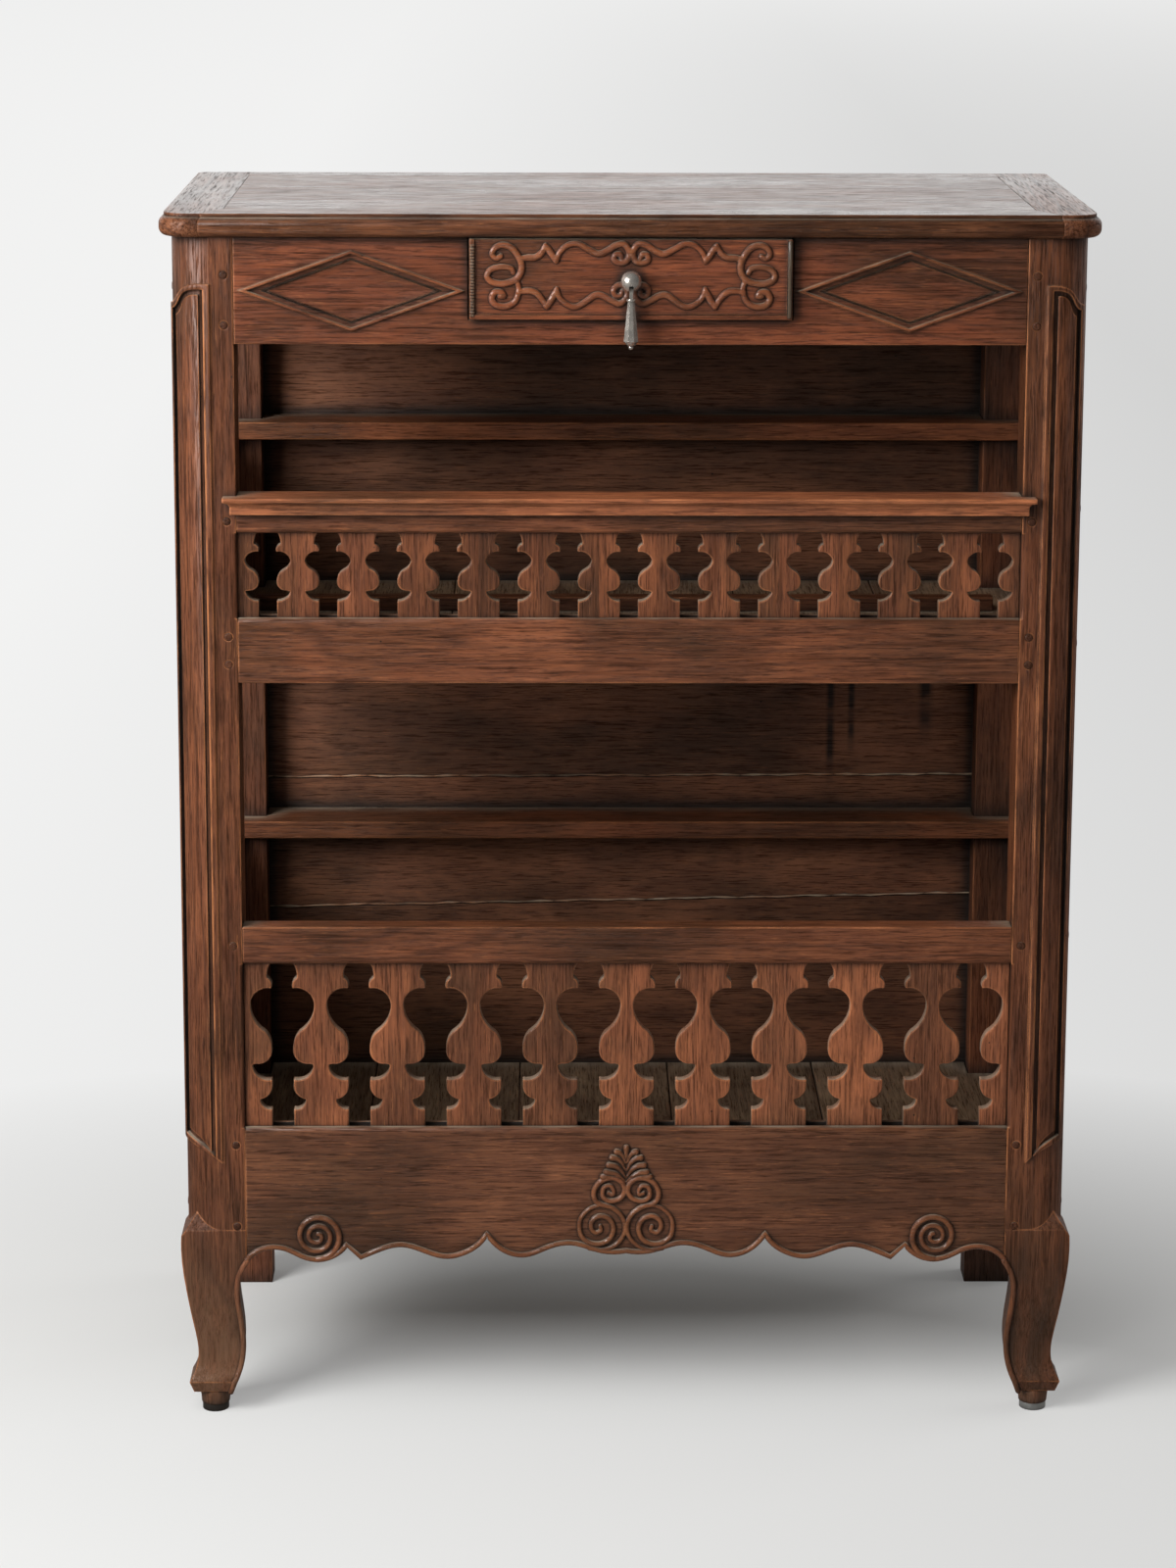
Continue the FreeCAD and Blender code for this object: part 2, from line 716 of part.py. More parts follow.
def shelf(seam_shares, foot):
    """Shelf boards that run from the front rail to the back boards, notched round the posts."""
    front = rail_thickness - shelf_groove + fit_gap
    edge = side_inner - fit_gap
    front_notch = box(opening_half - shelf_notch_gap, half, 0, post_depth + shelf_notch_gap,
                      0, overall_height)
    rear_notch = box(rear_inner - shelf_notch_gap, half, rear_face - shelf_notch_gap, frame_depth + overcut,
                     0, overall_height)
    notches = both_sides(front_notch) + both_sides(rear_notch)
    stops = [-edge]
    for share in seam_shares:
        stops += [share * edge - shelf_board_gap / 2, share * edge + shelf_board_gap / 2]
    stops.append(edge)
    boards = []
    for x0, x1 in zip(stops[::2], stops[1::2]):
        board = box(x0, x1, front, frame_depth - fit_gap, foot, foot + shelf_thickness)
        boards.append(cut_all(board, notches))
    return Part.makeCompound(boards)


def shelf_slot(foot):
    """The groove in a front rail that takes the shelf boards' ends."""
    return box(-opening_half, opening_half, rail_thickness - shelf_groove, rail_thickness + overcut,
               foot - fit_gap / 2, foot + shelf_thickness + fit_gap / 2)


def rear_ledge(foot):
    """A narrow ledge along the back, notched round the rear posts, resting on the side rails."""
    head = foot + ledge_thickness
    ledge = box(-side_outer, side_outer, rear_face - ledge_front, frame_depth - fit_gap, foot, head)
    notch = box(rear_inner - fit_gap, half, rear_face - fit_gap, frame_depth, foot - overcut, head + overcut)
    return cut_all(ledge, both_sides(notch))


def upright_edges(shape, y):
    """The upright edges of a shape at one depth."""
    edges = []
    for edge in shape.Edges:
        a, b = [edge.Vertexes[n].Point for n in (0, -1)]
        if abs(a.y - y) < tiny and abs(b.y - y) < tiny and abs(a.x - b.x) < tiny:
            edges.append(edge)
    return edges


def top_layer(inset, z0, z1):
    """A layer over the whole frame with rounded corners, drawn in by an inset."""
    front = inset - top_front_overhang
    back = frame_depth + top_back_overhang - inset
    layer = box(inset - top_half, top_half - inset, front, back, z0, z1)
    layer = layer.makeFillet(top_front_corner - inset, upright_edges(layer, front))
    return layer.makeFillet(top_back_corner - inset, upright_edges(layer, back))


def top_slab():
    """The whole top: a bullnosed slab under a thin raised step."""
    nosing = top_layer(0, top_foot, top_foot + top_nosing)
    level = [face for face in nosing.Faces if abs(face.normalAt(0, 0).z) > 1 - tiny]
    nosing = nosing.makeFillet(top_nosing_round, [edge for face in level for edge in face.Edges])
    return fused([nosing, top_layer(top_step_inset, top_foot + top_nosing, overall_height)])


def top_boards():
    """The top parted into two end cleats, a front rail with mitred ends, three planks and a back rail."""
    slab = top_slab()
    reach = frame_width
    edge = top_half - cleat_width
    mitre = edge + cleat_mitre
    front = -top_front_overhang
    back = frame_depth + top_back_overhang
    inner_front = front + top_front_rail_width
    inner_back = back - top_back_rail_width
    low = top_foot - overcut
    high = overall_height + overcut
    cleat = polygon_board([(edge, inner_front), (mitre, front), (mitre, -reach), (reach, -reach),
                           (reach, reach), (edge, reach)], low, high)
    rail = polygon_board([(-mitre, -reach), (mitre, -reach), (mitre, front), (edge, inner_front),
                          (-edge, inner_front), (-mitre, front)], low, high)
    boards = {"top_right_cleat": slab.common(cleat), "top_left_cleat": slab.common(mirrored(cleat)),
              "top_front_rail": slab.common(rail)}
    stops = [inner_front] + [front + share * (back - front) for share in plank_seam_shares] + [inner_back]
    for number, (y0, y1) in enumerate(zip(stops, stops[1:]), 1):
        boards["top_plank_%d" % number] = slab.common(box(-edge, edge, y0, y1, low, high))
    boards["top_back_rail"] = slab.common(box(-edge, edge, inner_back, reach, low, high))
    return boards


def back_board_row():
    """Horizontal back boards with sloping seams, nailed over the rear posts."""
    reach = rear_inner + back_board_lap
    foot = apron_foot + back_foot_rise
    head = top_foot - fit_gap
    seams = [(left * overall_height, right * overall_height) for left, right in back_seams]
    stops = [(foot, foot)] + seams + [(head, head)]
    gap = back_board_gap / 2
    row = []
    for (left0, right0), (left1, right1) in zip(stops, stops[1:]):
        edges = outline((-reach, left0 + gap),
                        [(reach, right0 + gap), (reach, right1 - gap), (-reach, left1 - gap)])
        row.append(sawn(edges, frame_depth, frame_depth + back_board))
    return row


def drawer_boards():
    """The drawer's boards: a proud beaded front, two sides, a back and a bottom."""
    wide = drawer_width / 2
    side_foot = drawer_foot + slide_gap
    side_top = side_foot + drawer_height - drawer_side_drop
    bottom_foot = side_foot + drawer_bottom_lift
    bottom_top = bottom_foot + drawer_bottom
    groove = drawer_side / 2
    bead_face = drawer_face - drawer_bead_proud
    front = box(-wide, wide, drawer_face, drawer_inner, drawer_foot, drawer_top)
    beads = both_sides(box(wide - drawer_bead, wide, bead_face, drawer_face, drawer_foot, drawer_top))
    beads.append(box(drawer_bead - wide, wide - drawer_bead, bead_face, drawer_face, drawer_foot,
                     drawer_foot + drawer_bead))
    bottom = box(groove - wide, wide - groove, drawer_inner - groove, drawer_end - fit_gap, bottom_foot,
                 bottom_top)
    room_half = wide - groove + fit_gap
    room = box(-room_half, room_half, drawer_inner - groove - fit_gap, drawer_end + overcut,
               bottom_foot - fit_gap, bottom_top + fit_gap)
    stem = rod(stem_radius + fit_gap, 2 * drawer_front_thickness,
               V(0, drawer_face - overcut, pull_height), BACK)
    side = box(wide - drawer_side, wide, drawer_inner, drawer_end, side_foot, side_top).cut(room)
    back = box(drawer_side - wide, wide - drawer_side, drawer_end - drawer_side, drawer_end,
               bottom_top + fit_gap, side_top)
    return {"drawer_front": cut_all(fused([front] + beads), [room, stem]),
            "drawer_right_side": side, "drawer_left_side": mirrored(side),
            "drawer_back": back, "drawer_bottom": bottom}


def drawer_runner():
    """The right-hand runner under the drawer's side, with its guide, from the frieze to the rear rail."""
    edge = drawer_width / 2
    outer = edge + guide_width
    base = box(outer - runner_width, outer, rail_thickness, rear_rail_y, runner_foot, drawer_foot)
    guide = box(edge + drawer_gap, outer, rail_thickness, rear_rail_y, drawer_foot,
                drawer_foot + guide_height)
    return fused([base, guide])


def pull_ball():
    """The ball with its rose and stem, slotted below and in front for the drop's tongue."""
    centre = V(0, ball_y, pull_height)
    ball = Part.makeSphere(ball_radius, centre)
    stem = rod(stem_radius, ball_standoff + drawer_front_thickness + nut_thickness, centre, BACK)
    rose = Part.makeCone(rose_base_radius, rose_neck_radius, rose_height,
                         V(0, drawer_face, pull_height), -BACK)
    slot_half = tongue_thickness / 2 + tongue_slot_gap
    room = tongue_width / 2 + tongue_slot_gap
    slot = box(-slot_half, slot_half, ball_y - 2 * ball_radius, ball_y + room, pin_height - 2 * ball_radius,
               pin_height + room)
    bore = rod(pin_radius + pin_gap, 4 * ball_radius, V(-2 * ball_radius, ball_y, pin_height), RIGHT)
    return cut_all(fused([ball, stem, rose]), [slot, bore])


def pull_pin():
    """The cross pin that the drop swings on."""
    chord = math.sqrt(ball_radius ** 2 - (pin_drop + pin_radius) ** 2)
    return rod(pin_radius, 2 * chord, V(-chord, ball_y, pin_height), RIGHT)


def pull_nut():
    """The round nut inside the drawer front."""
    place = V(0, drawer_inner, pull_height)
    bore = rod(stem_radius + fit_gap / 2, nut_thickness, place, BACK)
    return rod(nut_radius, nut_thickness, place, BACK).cut(bore)


def facet_ring(radius, z):
    """A regular polygon round the drop's line."""
    turns = [2 * math.pi * (n + 0.5) / drop_facets for n in range(drop_facets)]
    points = [V(radius * math.cos(turn), ball_y + radius * math.sin(turn), z) for turn in turns]
    return Part.makePolygon(points + points[:1])


def pull_drop():
    """The drop: a flat eye, a collar, a faceted body that widens downwards, a dome and a small ball."""
    thick = tongue_thickness / 2
    collar_top = pin_height - collar_distance
    body_top = collar_top - collar_height
    body_foot = body_top - drop_length
    dome_foot = body_foot - dome_height
    eye = rod(tongue_width / 2, tongue_thickness, V(-thick, ball_y, pin_height), RIGHT)
    tongue = box(-thick, thick, ball_y - tongue_width / 2, ball_y + tongue_width / 2, body_top, pin_height)
    collar = rod(collar_radius, collar_height, V(0, ball_y, body_top), UP)
    body = Part.makeLoft([facet_ring(drop_top_radius, body_top), facet_ring(drop_low_radius, body_foot)],
                         True, True)
    dome = Part.makeCone(dome_low_radius, dome_top_radius, dome_height, V(0, ball_y, dome_foot))
    finial = Part.makeSphere(finial_radius, V(0, ball_y, dome_foot - finial_fall))
    bore = rod(pin_radius + pin_gap, 4 * thick, V(-2 * thick, ball_y, pin_height), RIGHT)
    return fused([eye, tongue, collar, body, dome, finial]).cut(bore)


def front_foot():
    """The right-hand turned pad under a leg."""
    place = V(half - foot_side_setback, foot_front_setback, glide_height)
    return Part.makeCone(foot_radius - foot_taper, foot_radius, foot_height - glide_height, place)


def foot_glide():
    """The right-hand glide under a pad."""
    return rod(glide_radius, glide_height, V(half - foot_side_setback, foot_front_setback, 0), UP)


# Front frame
for side in ("left", "right"):
    save(side + "_front_post", front_post(side))
    save(side + "_rear_post", on_side(rear_post(), side))
save("foot_pads", Part.makeCompound(both_sides(front_foot())))
save("foot_glides", Part.makeCompound(both_sides(foot_glide())))
save("frieze_rail", front_rail("frieze", frieze_body()))
body = beaded_edge(plain_front("upper_gallery"), upper_gallery_foot)
save("upper_gallery_rail", front_rail("upper_gallery", body.cut(groove_above(upper_gallery_foot))))
save("upper_gallery_cap", cap_moulding())
body = beaded_edge(plain_front("shelf"), shelf_rail_top)
body = cut_all(body, [groove_below(shelf_rail_top), shelf_slot(upper_shelf_foot)])
save("upper_shelf_rail", front_rail("shelf", body))
body = beaded_edge(plain_front("lower_gallery"), lower_gallery_foot)
save("lower_gallery_rail", front_rail("lower_gallery", body.cut(groove_above(lower_gallery_foot))))
body = beaded_edge(apron_body(), apron_top)
body = cut_all(body, [groove_below(apron_top), shelf_slot(lower_shelf_foot)])
save("apron", front_rail("apron", body))

# Pegs
joint_pegs = []
for foot, top, pegs in front_rails.values():
    for z in pegs:
        place = V(opening_half + peg_setback, -peg_proud, z)
        joint_pegs += both_sides(rod(peg_radius, peg_proud + rail_thickness + peg_setback, place, BACK))
for y in (front_side_peg_y, rear_side_peg_y):
    for foot, top in side_rails.values():
        joint_pegs += both_sides(side_peg(y, foot, top, 0, peg_proud))
save("joint_pegs", Part.makeCompound(joint_pegs))

# Galleries
save("upper_splats",
     gallery(upper_splat, shelf_rail_top, upper_opening, upper_splat_spaces, upper_splat_share))
save("lower_splats",
     gallery(lower_splat, apron_top, lower_opening, lower_splat_spaces, lower_splat_share))

# Sides
for key, (foot, top) in side_rails.items():
    for side in ("left", "right"):
        save(side + "_side_" + key + "_rail", on_side(side_rail(foot, top), side))
for key, (foot, top) in side_boards.items():
    for side in ("left", "right"):
        save(side + "_side_" + key + "_board", on_side(side_panel(foot, top), side))

# Rear rails and back boards
for key, (foot, top) in rear_rails.items():
    body = box(-rear_inner, rear_inner, rear_rail_y, rear_rail_y + rear_rail_thickness, foot, top)
    save("rear_" + key + "_rail", fused([body] + both_sides(rear_tenon(foot, top, 0))))
for number, board in enumerate(back_board_row(), 1):
    save("back_board_%d" % number, board)

# Shelves, ledges and the shelf stop
save("upper_shelf_boards", shelf(upper_shelf_seams, upper_shelf_foot))
save("lower_shelf_boards", shelf(lower_shelf_seams, lower_shelf_foot))
save("upper_ledge", rear_ledge(cap_top))
save("lower_ledge", rear_ledge(lower_gallery_top))
stop_y = rear_face - stop_front
save("shelf_stop", box(-rear_inner, rear_inner, stop_y, stop_y + stop_depth, upper_shelf_top,
                       upper_shelf_top + stop_height))

# Top
for name, board in top_boards().items():
    save(name, board)

# Drawer and its pull
for name, board in drawer_boards().items():
    save(name, board)
save("right_drawer_runner", drawer_runner())
save("left_drawer_runner", mirrored(drawer_runner()))
save("pull_ball", pull_ball())
save("pull_pin", pull_pin())
save("pull_nut", pull_nut())
save("pull_drop", pull_drop())

os.makedirs("parts", exist_ok=True)
for name, shape in nodes.items():
    shape.exportStep("parts/%s.step" % name)
print(len(nodes), "nodes")
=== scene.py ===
import math

import bmesh
import bpy
from bpy.props import FloatProperty, FloatVectorProperty, PointerProperty
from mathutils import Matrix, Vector


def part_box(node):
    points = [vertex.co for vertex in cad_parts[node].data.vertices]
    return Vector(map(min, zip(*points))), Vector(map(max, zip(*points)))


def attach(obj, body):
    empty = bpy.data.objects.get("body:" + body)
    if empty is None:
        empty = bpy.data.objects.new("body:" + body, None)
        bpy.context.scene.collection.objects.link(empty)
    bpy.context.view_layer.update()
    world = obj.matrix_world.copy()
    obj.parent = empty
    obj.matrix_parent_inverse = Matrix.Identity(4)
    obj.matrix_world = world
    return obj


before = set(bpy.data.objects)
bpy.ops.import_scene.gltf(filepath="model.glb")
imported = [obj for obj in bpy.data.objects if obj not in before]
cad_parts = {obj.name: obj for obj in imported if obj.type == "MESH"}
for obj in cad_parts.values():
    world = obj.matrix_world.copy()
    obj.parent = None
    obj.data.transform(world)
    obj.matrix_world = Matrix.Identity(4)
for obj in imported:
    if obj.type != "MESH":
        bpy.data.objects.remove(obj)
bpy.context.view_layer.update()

bl_info = {
    "name": "Kitchen Dresser",
    "version": (1, 0, 0),
    "blender": (4, 5, 0),
    "location": "View3D > Sidebar > Dresser",
    "description": "Carving, timber finish and studio for an open oak kitchen dresser",
    "category": "Object",
}

MM = 0.001
X, Y, Z = 0, 1, 2
SAME_POINT = 0.00002  # Points of a CAD mesh that are closer than this are one point
BEAD_PROUD = 0.0025  # How far the drawer front's rim stands in front of its field
SHADER_SAMPLES = 6  # Rays for the corners and the arrises


class DresserFinish(bpy.types.PropertyGroup):
    """Colours and surface sizes of the timber and the metal."""

    oak_dark: FloatVectorProperty(
        name="Oak dark grain", description="Dark bands of the waxed oak", subtype="COLOR",
        size=3, min=0.0, max=1.0, default=(0.040, 0.0150, 0.0080))
    oak_mid: FloatVectorProperty(
        name="Oak ground", description="Main colour of the waxed oak", subtype="COLOR",
        size=3, min=0.0, max=1.0, default=(0.122, 0.0385, 0.0160))
    oak_light: FloatVectorProperty(
        name="Oak light grain", description="Light bands of the waxed oak", subtype="COLOR",
        size=3, min=0.0, max=1.0, default=(0.225, 0.074, 0.029))
    worn_edge: FloatVectorProperty(
        name="Worn edge", description="Rubbed oak along edges and carving", subtype="COLOR",
        size=3, min=0.0, max=1.0, default=(0.46, 0.172, 0.066))
    # Dark wax; also the colour of painted shade in corners, at the feet of carving and in the back's seams
    grime_and_shade: FloatVectorProperty(
        name="Old wax", description="Dark wax and dirt held in corners", subtype="COLOR",
        size=3, min=0.0, max=1.0, default=(0.014, 0.0105, 0.0085))
    top_mid: FloatVectorProperty(
        name="Top ground", description="Main colour of the rubbed top", subtype="COLOR",
        size=3, min=0.0, max=1.0, default=(0.098, 0.034, 0.0145))
    inner_mid: FloatVectorProperty(
        name="Inside ground", description="Main colour of the unpolished inside", subtype="COLOR",
        size=3, min=0.0, max=1.0, default=(0.150, 0.058, 0.029))
    shelf_mid: FloatVectorProperty(
        name="Shelf ground", description="Main colour of the greyed shelf boards", subtype="COLOR",
        size=3, min=0.0, max=1.0, default=(0.132, 0.086, 0.0525))
    drawer_mid: FloatVectorProperty(
        name="Drawer ground", description="Main colour of the redder drawer front", subtype="COLOR",
        size=3, min=0.0, max=1.0, default=(0.125, 0.0335, 0.0135))
    apron_mid: FloatVectorProperty(
        name="Apron ground", description="Main colour of the browner apron", subtype="COLOR",
        size=3, min=0.0, max=1.0, default=(0.106, 0.0385, 0.0175))
    patina: FloatVectorProperty(
        name="Patina", description="Darkened patches and scuffs of the waxed oak", subtype="COLOR",
        size=3, min=0.0, max=1.0, default=(0.066, 0.034, 0.0185))
    dust: FloatVectorProperty(
        name="Dust", description="Dust in hollows and on sawn edges", subtype="COLOR",
        size=3, min=0.0, max=1.0, default=(0.30, 0.235, 0.17))
    pewter: FloatVectorProperty(
        name="Pewter", description="Worn metal of the pull", subtype="COLOR",
        size=3, min=0.0, max=1.0, default=(0.66, 0.61, 0.55))
    glide: FloatVectorProperty(
        name="Glide", description="Steel of the foot glides", subtype="COLOR",
        size=3, min=0.0, max=1.0, default=(0.55, 0.55, 0.53))
    edge_round: FloatProperty(
        name="Edge round", description="Rounding of the timber's arrises", subtype="DISTANCE",
        unit="LENGTH", min=0.0, default=0.0014)
    seam: FloatProperty(
        name="Seam edge", description="Width of the frayed arrises along the back's seams",
        subtype="DISTANCE", unit="LENGTH", min=0.0, default=0.0022)


class DresserCarving(bpy.types.PropertyGroup):
    """Sizes of the carved ornament."""

    bead_radius: FloatProperty(
        name="Edge bead", description="Half width of the bead along the apron and legs",
        subtype="DISTANCE", unit="LENGTH", min=0.0, default=0.0035)
    scroll_radius: FloatProperty(
        name="Scroll ridge", description="Half width of the ridges of the scrolls",
        subtype="DISTANCE", unit="LENGTH", min=0.0, default=0.0040)
    strap_radius: FloatProperty(
        name="Strap ridge", description="Half width of the drawer's strapwork",
        subtype="DISTANCE", unit="LENGTH", min=0.0, default=0.0042)
    relief: FloatProperty(
        name="Relief", description="Height of a ridge as a share of its half width",
        subtype="FACTOR", min=0.1, max=1.5, default=1.0)


class DresserStudio(bpy.types.PropertyGroup):
    """The camera, the floor and the background."""

    camera_place: FloatVectorProperty(
        name="Camera", description="Place of the camera", subtype="TRANSLATION", unit="LENGTH",
        size=3, default=(-0.0974, -4.700, 1.9337))
    camera_turn: FloatVectorProperty(
        name="Camera turn", description="Pitch, roll and yaw of the camera", subtype="EULER",
        size=3, default=(math.radians(90 - 11.164), math.radians(-0.173), math.radians(-0.598)))
    lens: FloatProperty(
        name="Lens", description="Focal length on a 36 mm long side", unit="CAMERA", min=1.0, default=90.0)
    lens_rise: FloatProperty(
        name="Lens rise", description="Vertical shift of the lens", subtype="FACTOR",
        min=-0.2, max=0.2, default=-0.14)
    floor_colour: FloatVectorProperty(
        name="Floor", description="Pale floor", subtype="COLOR", size=3, min=0.0, max=1.0,
        default=(0.66, 0.66, 0.645))
    background: FloatProperty(
        name="Background", description="Brightness of the pale background", subtype="FACTOR",
        min=0.0, max=1.0, default=0.86)


def node(tree, kind, sockets=None, **settings):
    """A shader node with its settings, its socket values and its links."""
    made = tree.nodes.new(kind)
    for name, value in settings.items():
        setattr(made, name, value)
    for key, value in (sockets or {}).items():
        if isinstance(value, bpy.types.NodeSocket):
            tree.links.new(value, made.inputs[key])
        else:
            made.inputs[key].default_value = value
    return made


def calc(tree, operation, first, second=0.0):
    """The result of a Math node."""
    return node(tree, "ShaderNodeMath", {0: first, 1: second}, operation=operation).outputs[0]


def times(tree, value, *factors):
    """A value multiplied by each factor in turn."""
    for factor in factors:
        value = calc(tree, "MULTIPLY", value, factor)
    return value


def plus(tree, value, *others):
    """A value with each of the others added in turn."""
    for other in others:
        value = calc(tree, "ADD", value, other)
    return value


def fade(tree, value, low, high, start=0.0, end=1.0, kind="LINEAR"):
    """A value mapped from one range to another, and held at its ends."""
    made = node(tree, "ShaderNodeMapRange", {"Value": value, "From Min": low, "From Max": high,
                                             "To Min": start, "To Max": end}, interpolation_type=kind)
    return made.outputs["Result"]


def tint(tree, factor, under, over):
    """Two colours mixed by a factor."""
    made = node(tree, "ShaderNodeMix", {0: factor, 6: under, 7: over}, data_type="RGBA", blend_type="MIX")
    return made.outputs[2]


def part_of(tree, vector, axis):
    """The share of a vector along one axis."""
    return node(tree, "ShaderNodeSeparateXYZ", {0: vector}).outputs[axis]


def openness(tree, reach):
    """How free of nearby surfaces a point is, from 0 in a tight corner to 1."""
    made = node(tree, "ShaderNodeAmbientOcclusion", {"Distance": reach}, samples=SHADER_SAMPLES)
    return made.outputs["AO"]


def rgba(colour, gain=1.0):
    """A colour with a gain and full opacity."""
    return (colour[0] * gain, colour[1] * gain, colour[2] * gain, 1.0)


def new_material(name):
    """A node material with its tree and its Principled shader."""
    made = bpy.data.materials.new(name)
    made.use_nodes = True
    return made, made.node_tree, made.node_tree.nodes["Principled BSDF"]


def noise(tree, place, axis, across, along, detail, roughness=0.55, distortion=0.0):
    """A noise with so many features in a metre across an axis and along it."""
    factor = [across, across, across]
    factor[axis] = along
    vector = node(tree, "ShaderNodeVectorMath", {0: place, 1: factor}, operation="MULTIPLY").outputs[0]
    made = node(tree, "ShaderNodeTexNoise", {"Vector": vector, "Scale": 1.0, "Detail": detail,
                                             "Roughness": roughness, "Distortion": distortion})
    return made.outputs["Fac"]


class OakShader:
    """Old oak with its grain along an axis, coloured in layers from the clean wood to the dust."""

    chance_shift = 7.0  # How far a board's place in the noise may be shifted, in metres
    ring_count = 46.0  # Light and dark bands of the rings over the range of the contour noise
    arris_width = 0.0036  # Width over which an arris is rubbed
    corner_reach = 0.034  # Reach of the dark wax and painted shade in corners
    joint_reach = 0.013  # Reach of the wax and painted shade close to joints and carving
    hole_cells = 26.0  # Cells in a metre, some of which hold a pin hole
    grain_depth = 0.0007  # Depth of the grain's relief

    def __init__(self, name, axis, finish, gain, boards):
        self.material, self.tree, self.shader = new_material(name)
        self.finish = finish
        self.gain = gain
        tree = self.tree
        self.place = node(tree, "ShaderNodeTexCoord").outputs["Object"]
        self.facing = node(tree, "ShaderNodeNewGeometry").outputs["Normal"]
        self.open_air = openness(tree, self.corner_reach)
        self.round_off = node(tree, "ShaderNodeBevel", {"Radius": self.arris_width},
                              samples=SHADER_SAMPLES).outputs["Normal"]
        self.chance = self.board_chance(boards)
        shift = times(tree, self.chance, self.chance_shift)
        spot = node(tree, "ShaderNodeVectorMath", {0: self.place, 1: shift}, operation="ADD").outputs[0]
        self.spot = spot
        self.mottle = noise(tree, spot, axis, 17.0, 6.5, 6.0, 0.64, 0.4)
        self.cloud = noise(tree, spot, axis, 6.0, 3.2, 5.0, 0.62)
        self.streak = noise(tree, spot, axis, 290.0, 10.0, 4.0, 0.62, 0.3)
        self.fleck = noise(tree, spot, axis, 460.0, 38.0, 3.0, 0.6, 0.5)
        self.patch = noise(tree, spot, axis, 40.0, 12.0, 4.0, 0.65)
        contour = noise(tree, spot, axis, 5.0, 0.40, 2.0, 0.5, 0.35)
        self.rings = calc(tree, "PINGPONG", times(tree, contour, self.ring_count), 1.0)
        self.pores = fade(tree, noise(tree, spot, axis, 560.0, 26.0, 3.0, 0.7), 0.52, 0.63)

    def board_chance(self, boards):
        """A chance value for each board of a width along X, or without a width for each object."""
        tree = self.tree
        if not boards:
            return node(tree, "ShaderNodeObjectInfo").outputs["Random"]
        count = calc(tree, "ROUND", calc(tree, "DIVIDE", part_of(tree, self.place, X), boards))
        return node(tree, "ShaderNodeTexWhiteNoise", {"W": count}, noise_dimensions="1D").outputs["Value"]

    def lay(self, factor, colour):
        """Lay a colour over what is there."""
        self.colour = tint(self.tree, factor, self.colour, colour)

    def patchy(self, low, high, least, most):
        """A strength that comes and goes in patches."""
        return fade(self.tree, self.patch, low, high, least, most)

    def clean_wood(self, ground, spread, figure):
        """Ground colour with mottling, patina, streaks, flecks, rings and pores."""
        tree, finish, gain = self.tree, self.finish, self.gain
        dark = rgba(finish.oak_dark, gain)
        light = rgba([finish.oak_light[n] * ground[n] / finish.oak_mid[n] for n in range(3)], gain)
        self.colour = rgba(ground, gain)
        # A noise, its values where a colour starts and is full, the colour's strength, the colour
        for value, start, full, strength, colour in (
                (self.mottle, 0.42, 0.68, 0.8, light),
                (self.cloud, 0.54, 0.36, 0.60, rgba(finish.patina, gain)),
                (self.streak, 0.50, 0.28, 0.64 * figure, dark),
                (self.streak, 0.54, 0.74, 0.40 * figure, light),
                (self.fleck, 0.60, 0.74, 0.45, rgba(finish.worn_edge, 0.75 * gain)),
                (self.fleck, 0.44, 0.28, 0.70, dark),
                (self.rings, 0.70, 1.0, 0.36 * figure, dark)):
            self.lay(fade(tree, value, start, full, 0.0, strength), colour)
        self.lay(times(tree, self.pores, 0.6), rgba(finish.oak_dark, 0.45 * gain))
        value = times(tree, fade(tree, self.cloud, 0.34, 0.66, 0.76, 1.24),
                      fade(tree, self.chance, 0.0, 1.0, 1.0 - spread, 1.0 + spread))
        toned = node(tree, "ShaderNodeHueSaturation", {"Color": self.colour, "Value": value})
        self.colour = toned.outputs["Color"]

    def pin_holes(self):
        """A few small dark holes."""
        tree = self.tree
        cell = node(tree, "ShaderNodeTexVoronoi", {"Vector": self.spot, "Scale": self.hole_cells}).outputs
        chosen = fade(tree, node(tree, "ShaderNodeSeparateColor", {0: cell["Color"]}).outputs[0], 0.60, 0.62)
        hole = times(tree, fade(tree, cell["Distance"], 0.040, 0.022), chosen)
        self.lay(hole, rgba(self.finish.grime_and_shade, 0.6))

    def scuffs(self, top, gain):
        """Scuffed wood from a height down to the floor."""
        low = fade(self.tree, part_of(self.tree, self.place, Z), top, 0.35 * top)
        self.lay(times(self.tree, low, self.patchy(0.34, 0.60, 0.3, 0.85)), rgba(self.finish.patina, gain))

    def stain(self, middle, half_width, top, foot):
        """A dark run down the faces that look to the front."""
        tree = self.tree
        height = part_of(tree, self.place, Z)
        aside = calc(tree, "ABSOLUTE", calc(tree, "SUBTRACT", part_of(tree, self.place, X), middle))
        run = times(tree, fade(tree, aside, half_width, 0.3 * half_width), self.patchy(0.30, 0.55, 0.3, 0.9),
                    fade(tree, height, foot, foot + 0.04), fade(tree, height, top, top - 0.01),
                    fade(tree, part_of(tree, self.facing, Y), 0.0, -0.5))
        self.lay(run, rgba(self.finish.grime_and_shade))

    def worn_arrises(self, wear):
        """Arrises rubbed pale where hands reach them."""
        tree = self.tree
        bend = node(tree, "ShaderNodeVectorMath", {0: self.facing, 1: self.round_off},
                    operation="DOT_PRODUCT").outputs["Value"]
        rubbed = times(tree, fade(tree, bend, 0.99, 0.86), self.patchy(0.40, 0.62, 0.08, 1.0),
                       fade(tree, self.open_air, 0.55, 0.82, 0.0, 0.85 * wear))
        self.lay(rubbed, rgba(self.finish.worn_edge, self.gain))

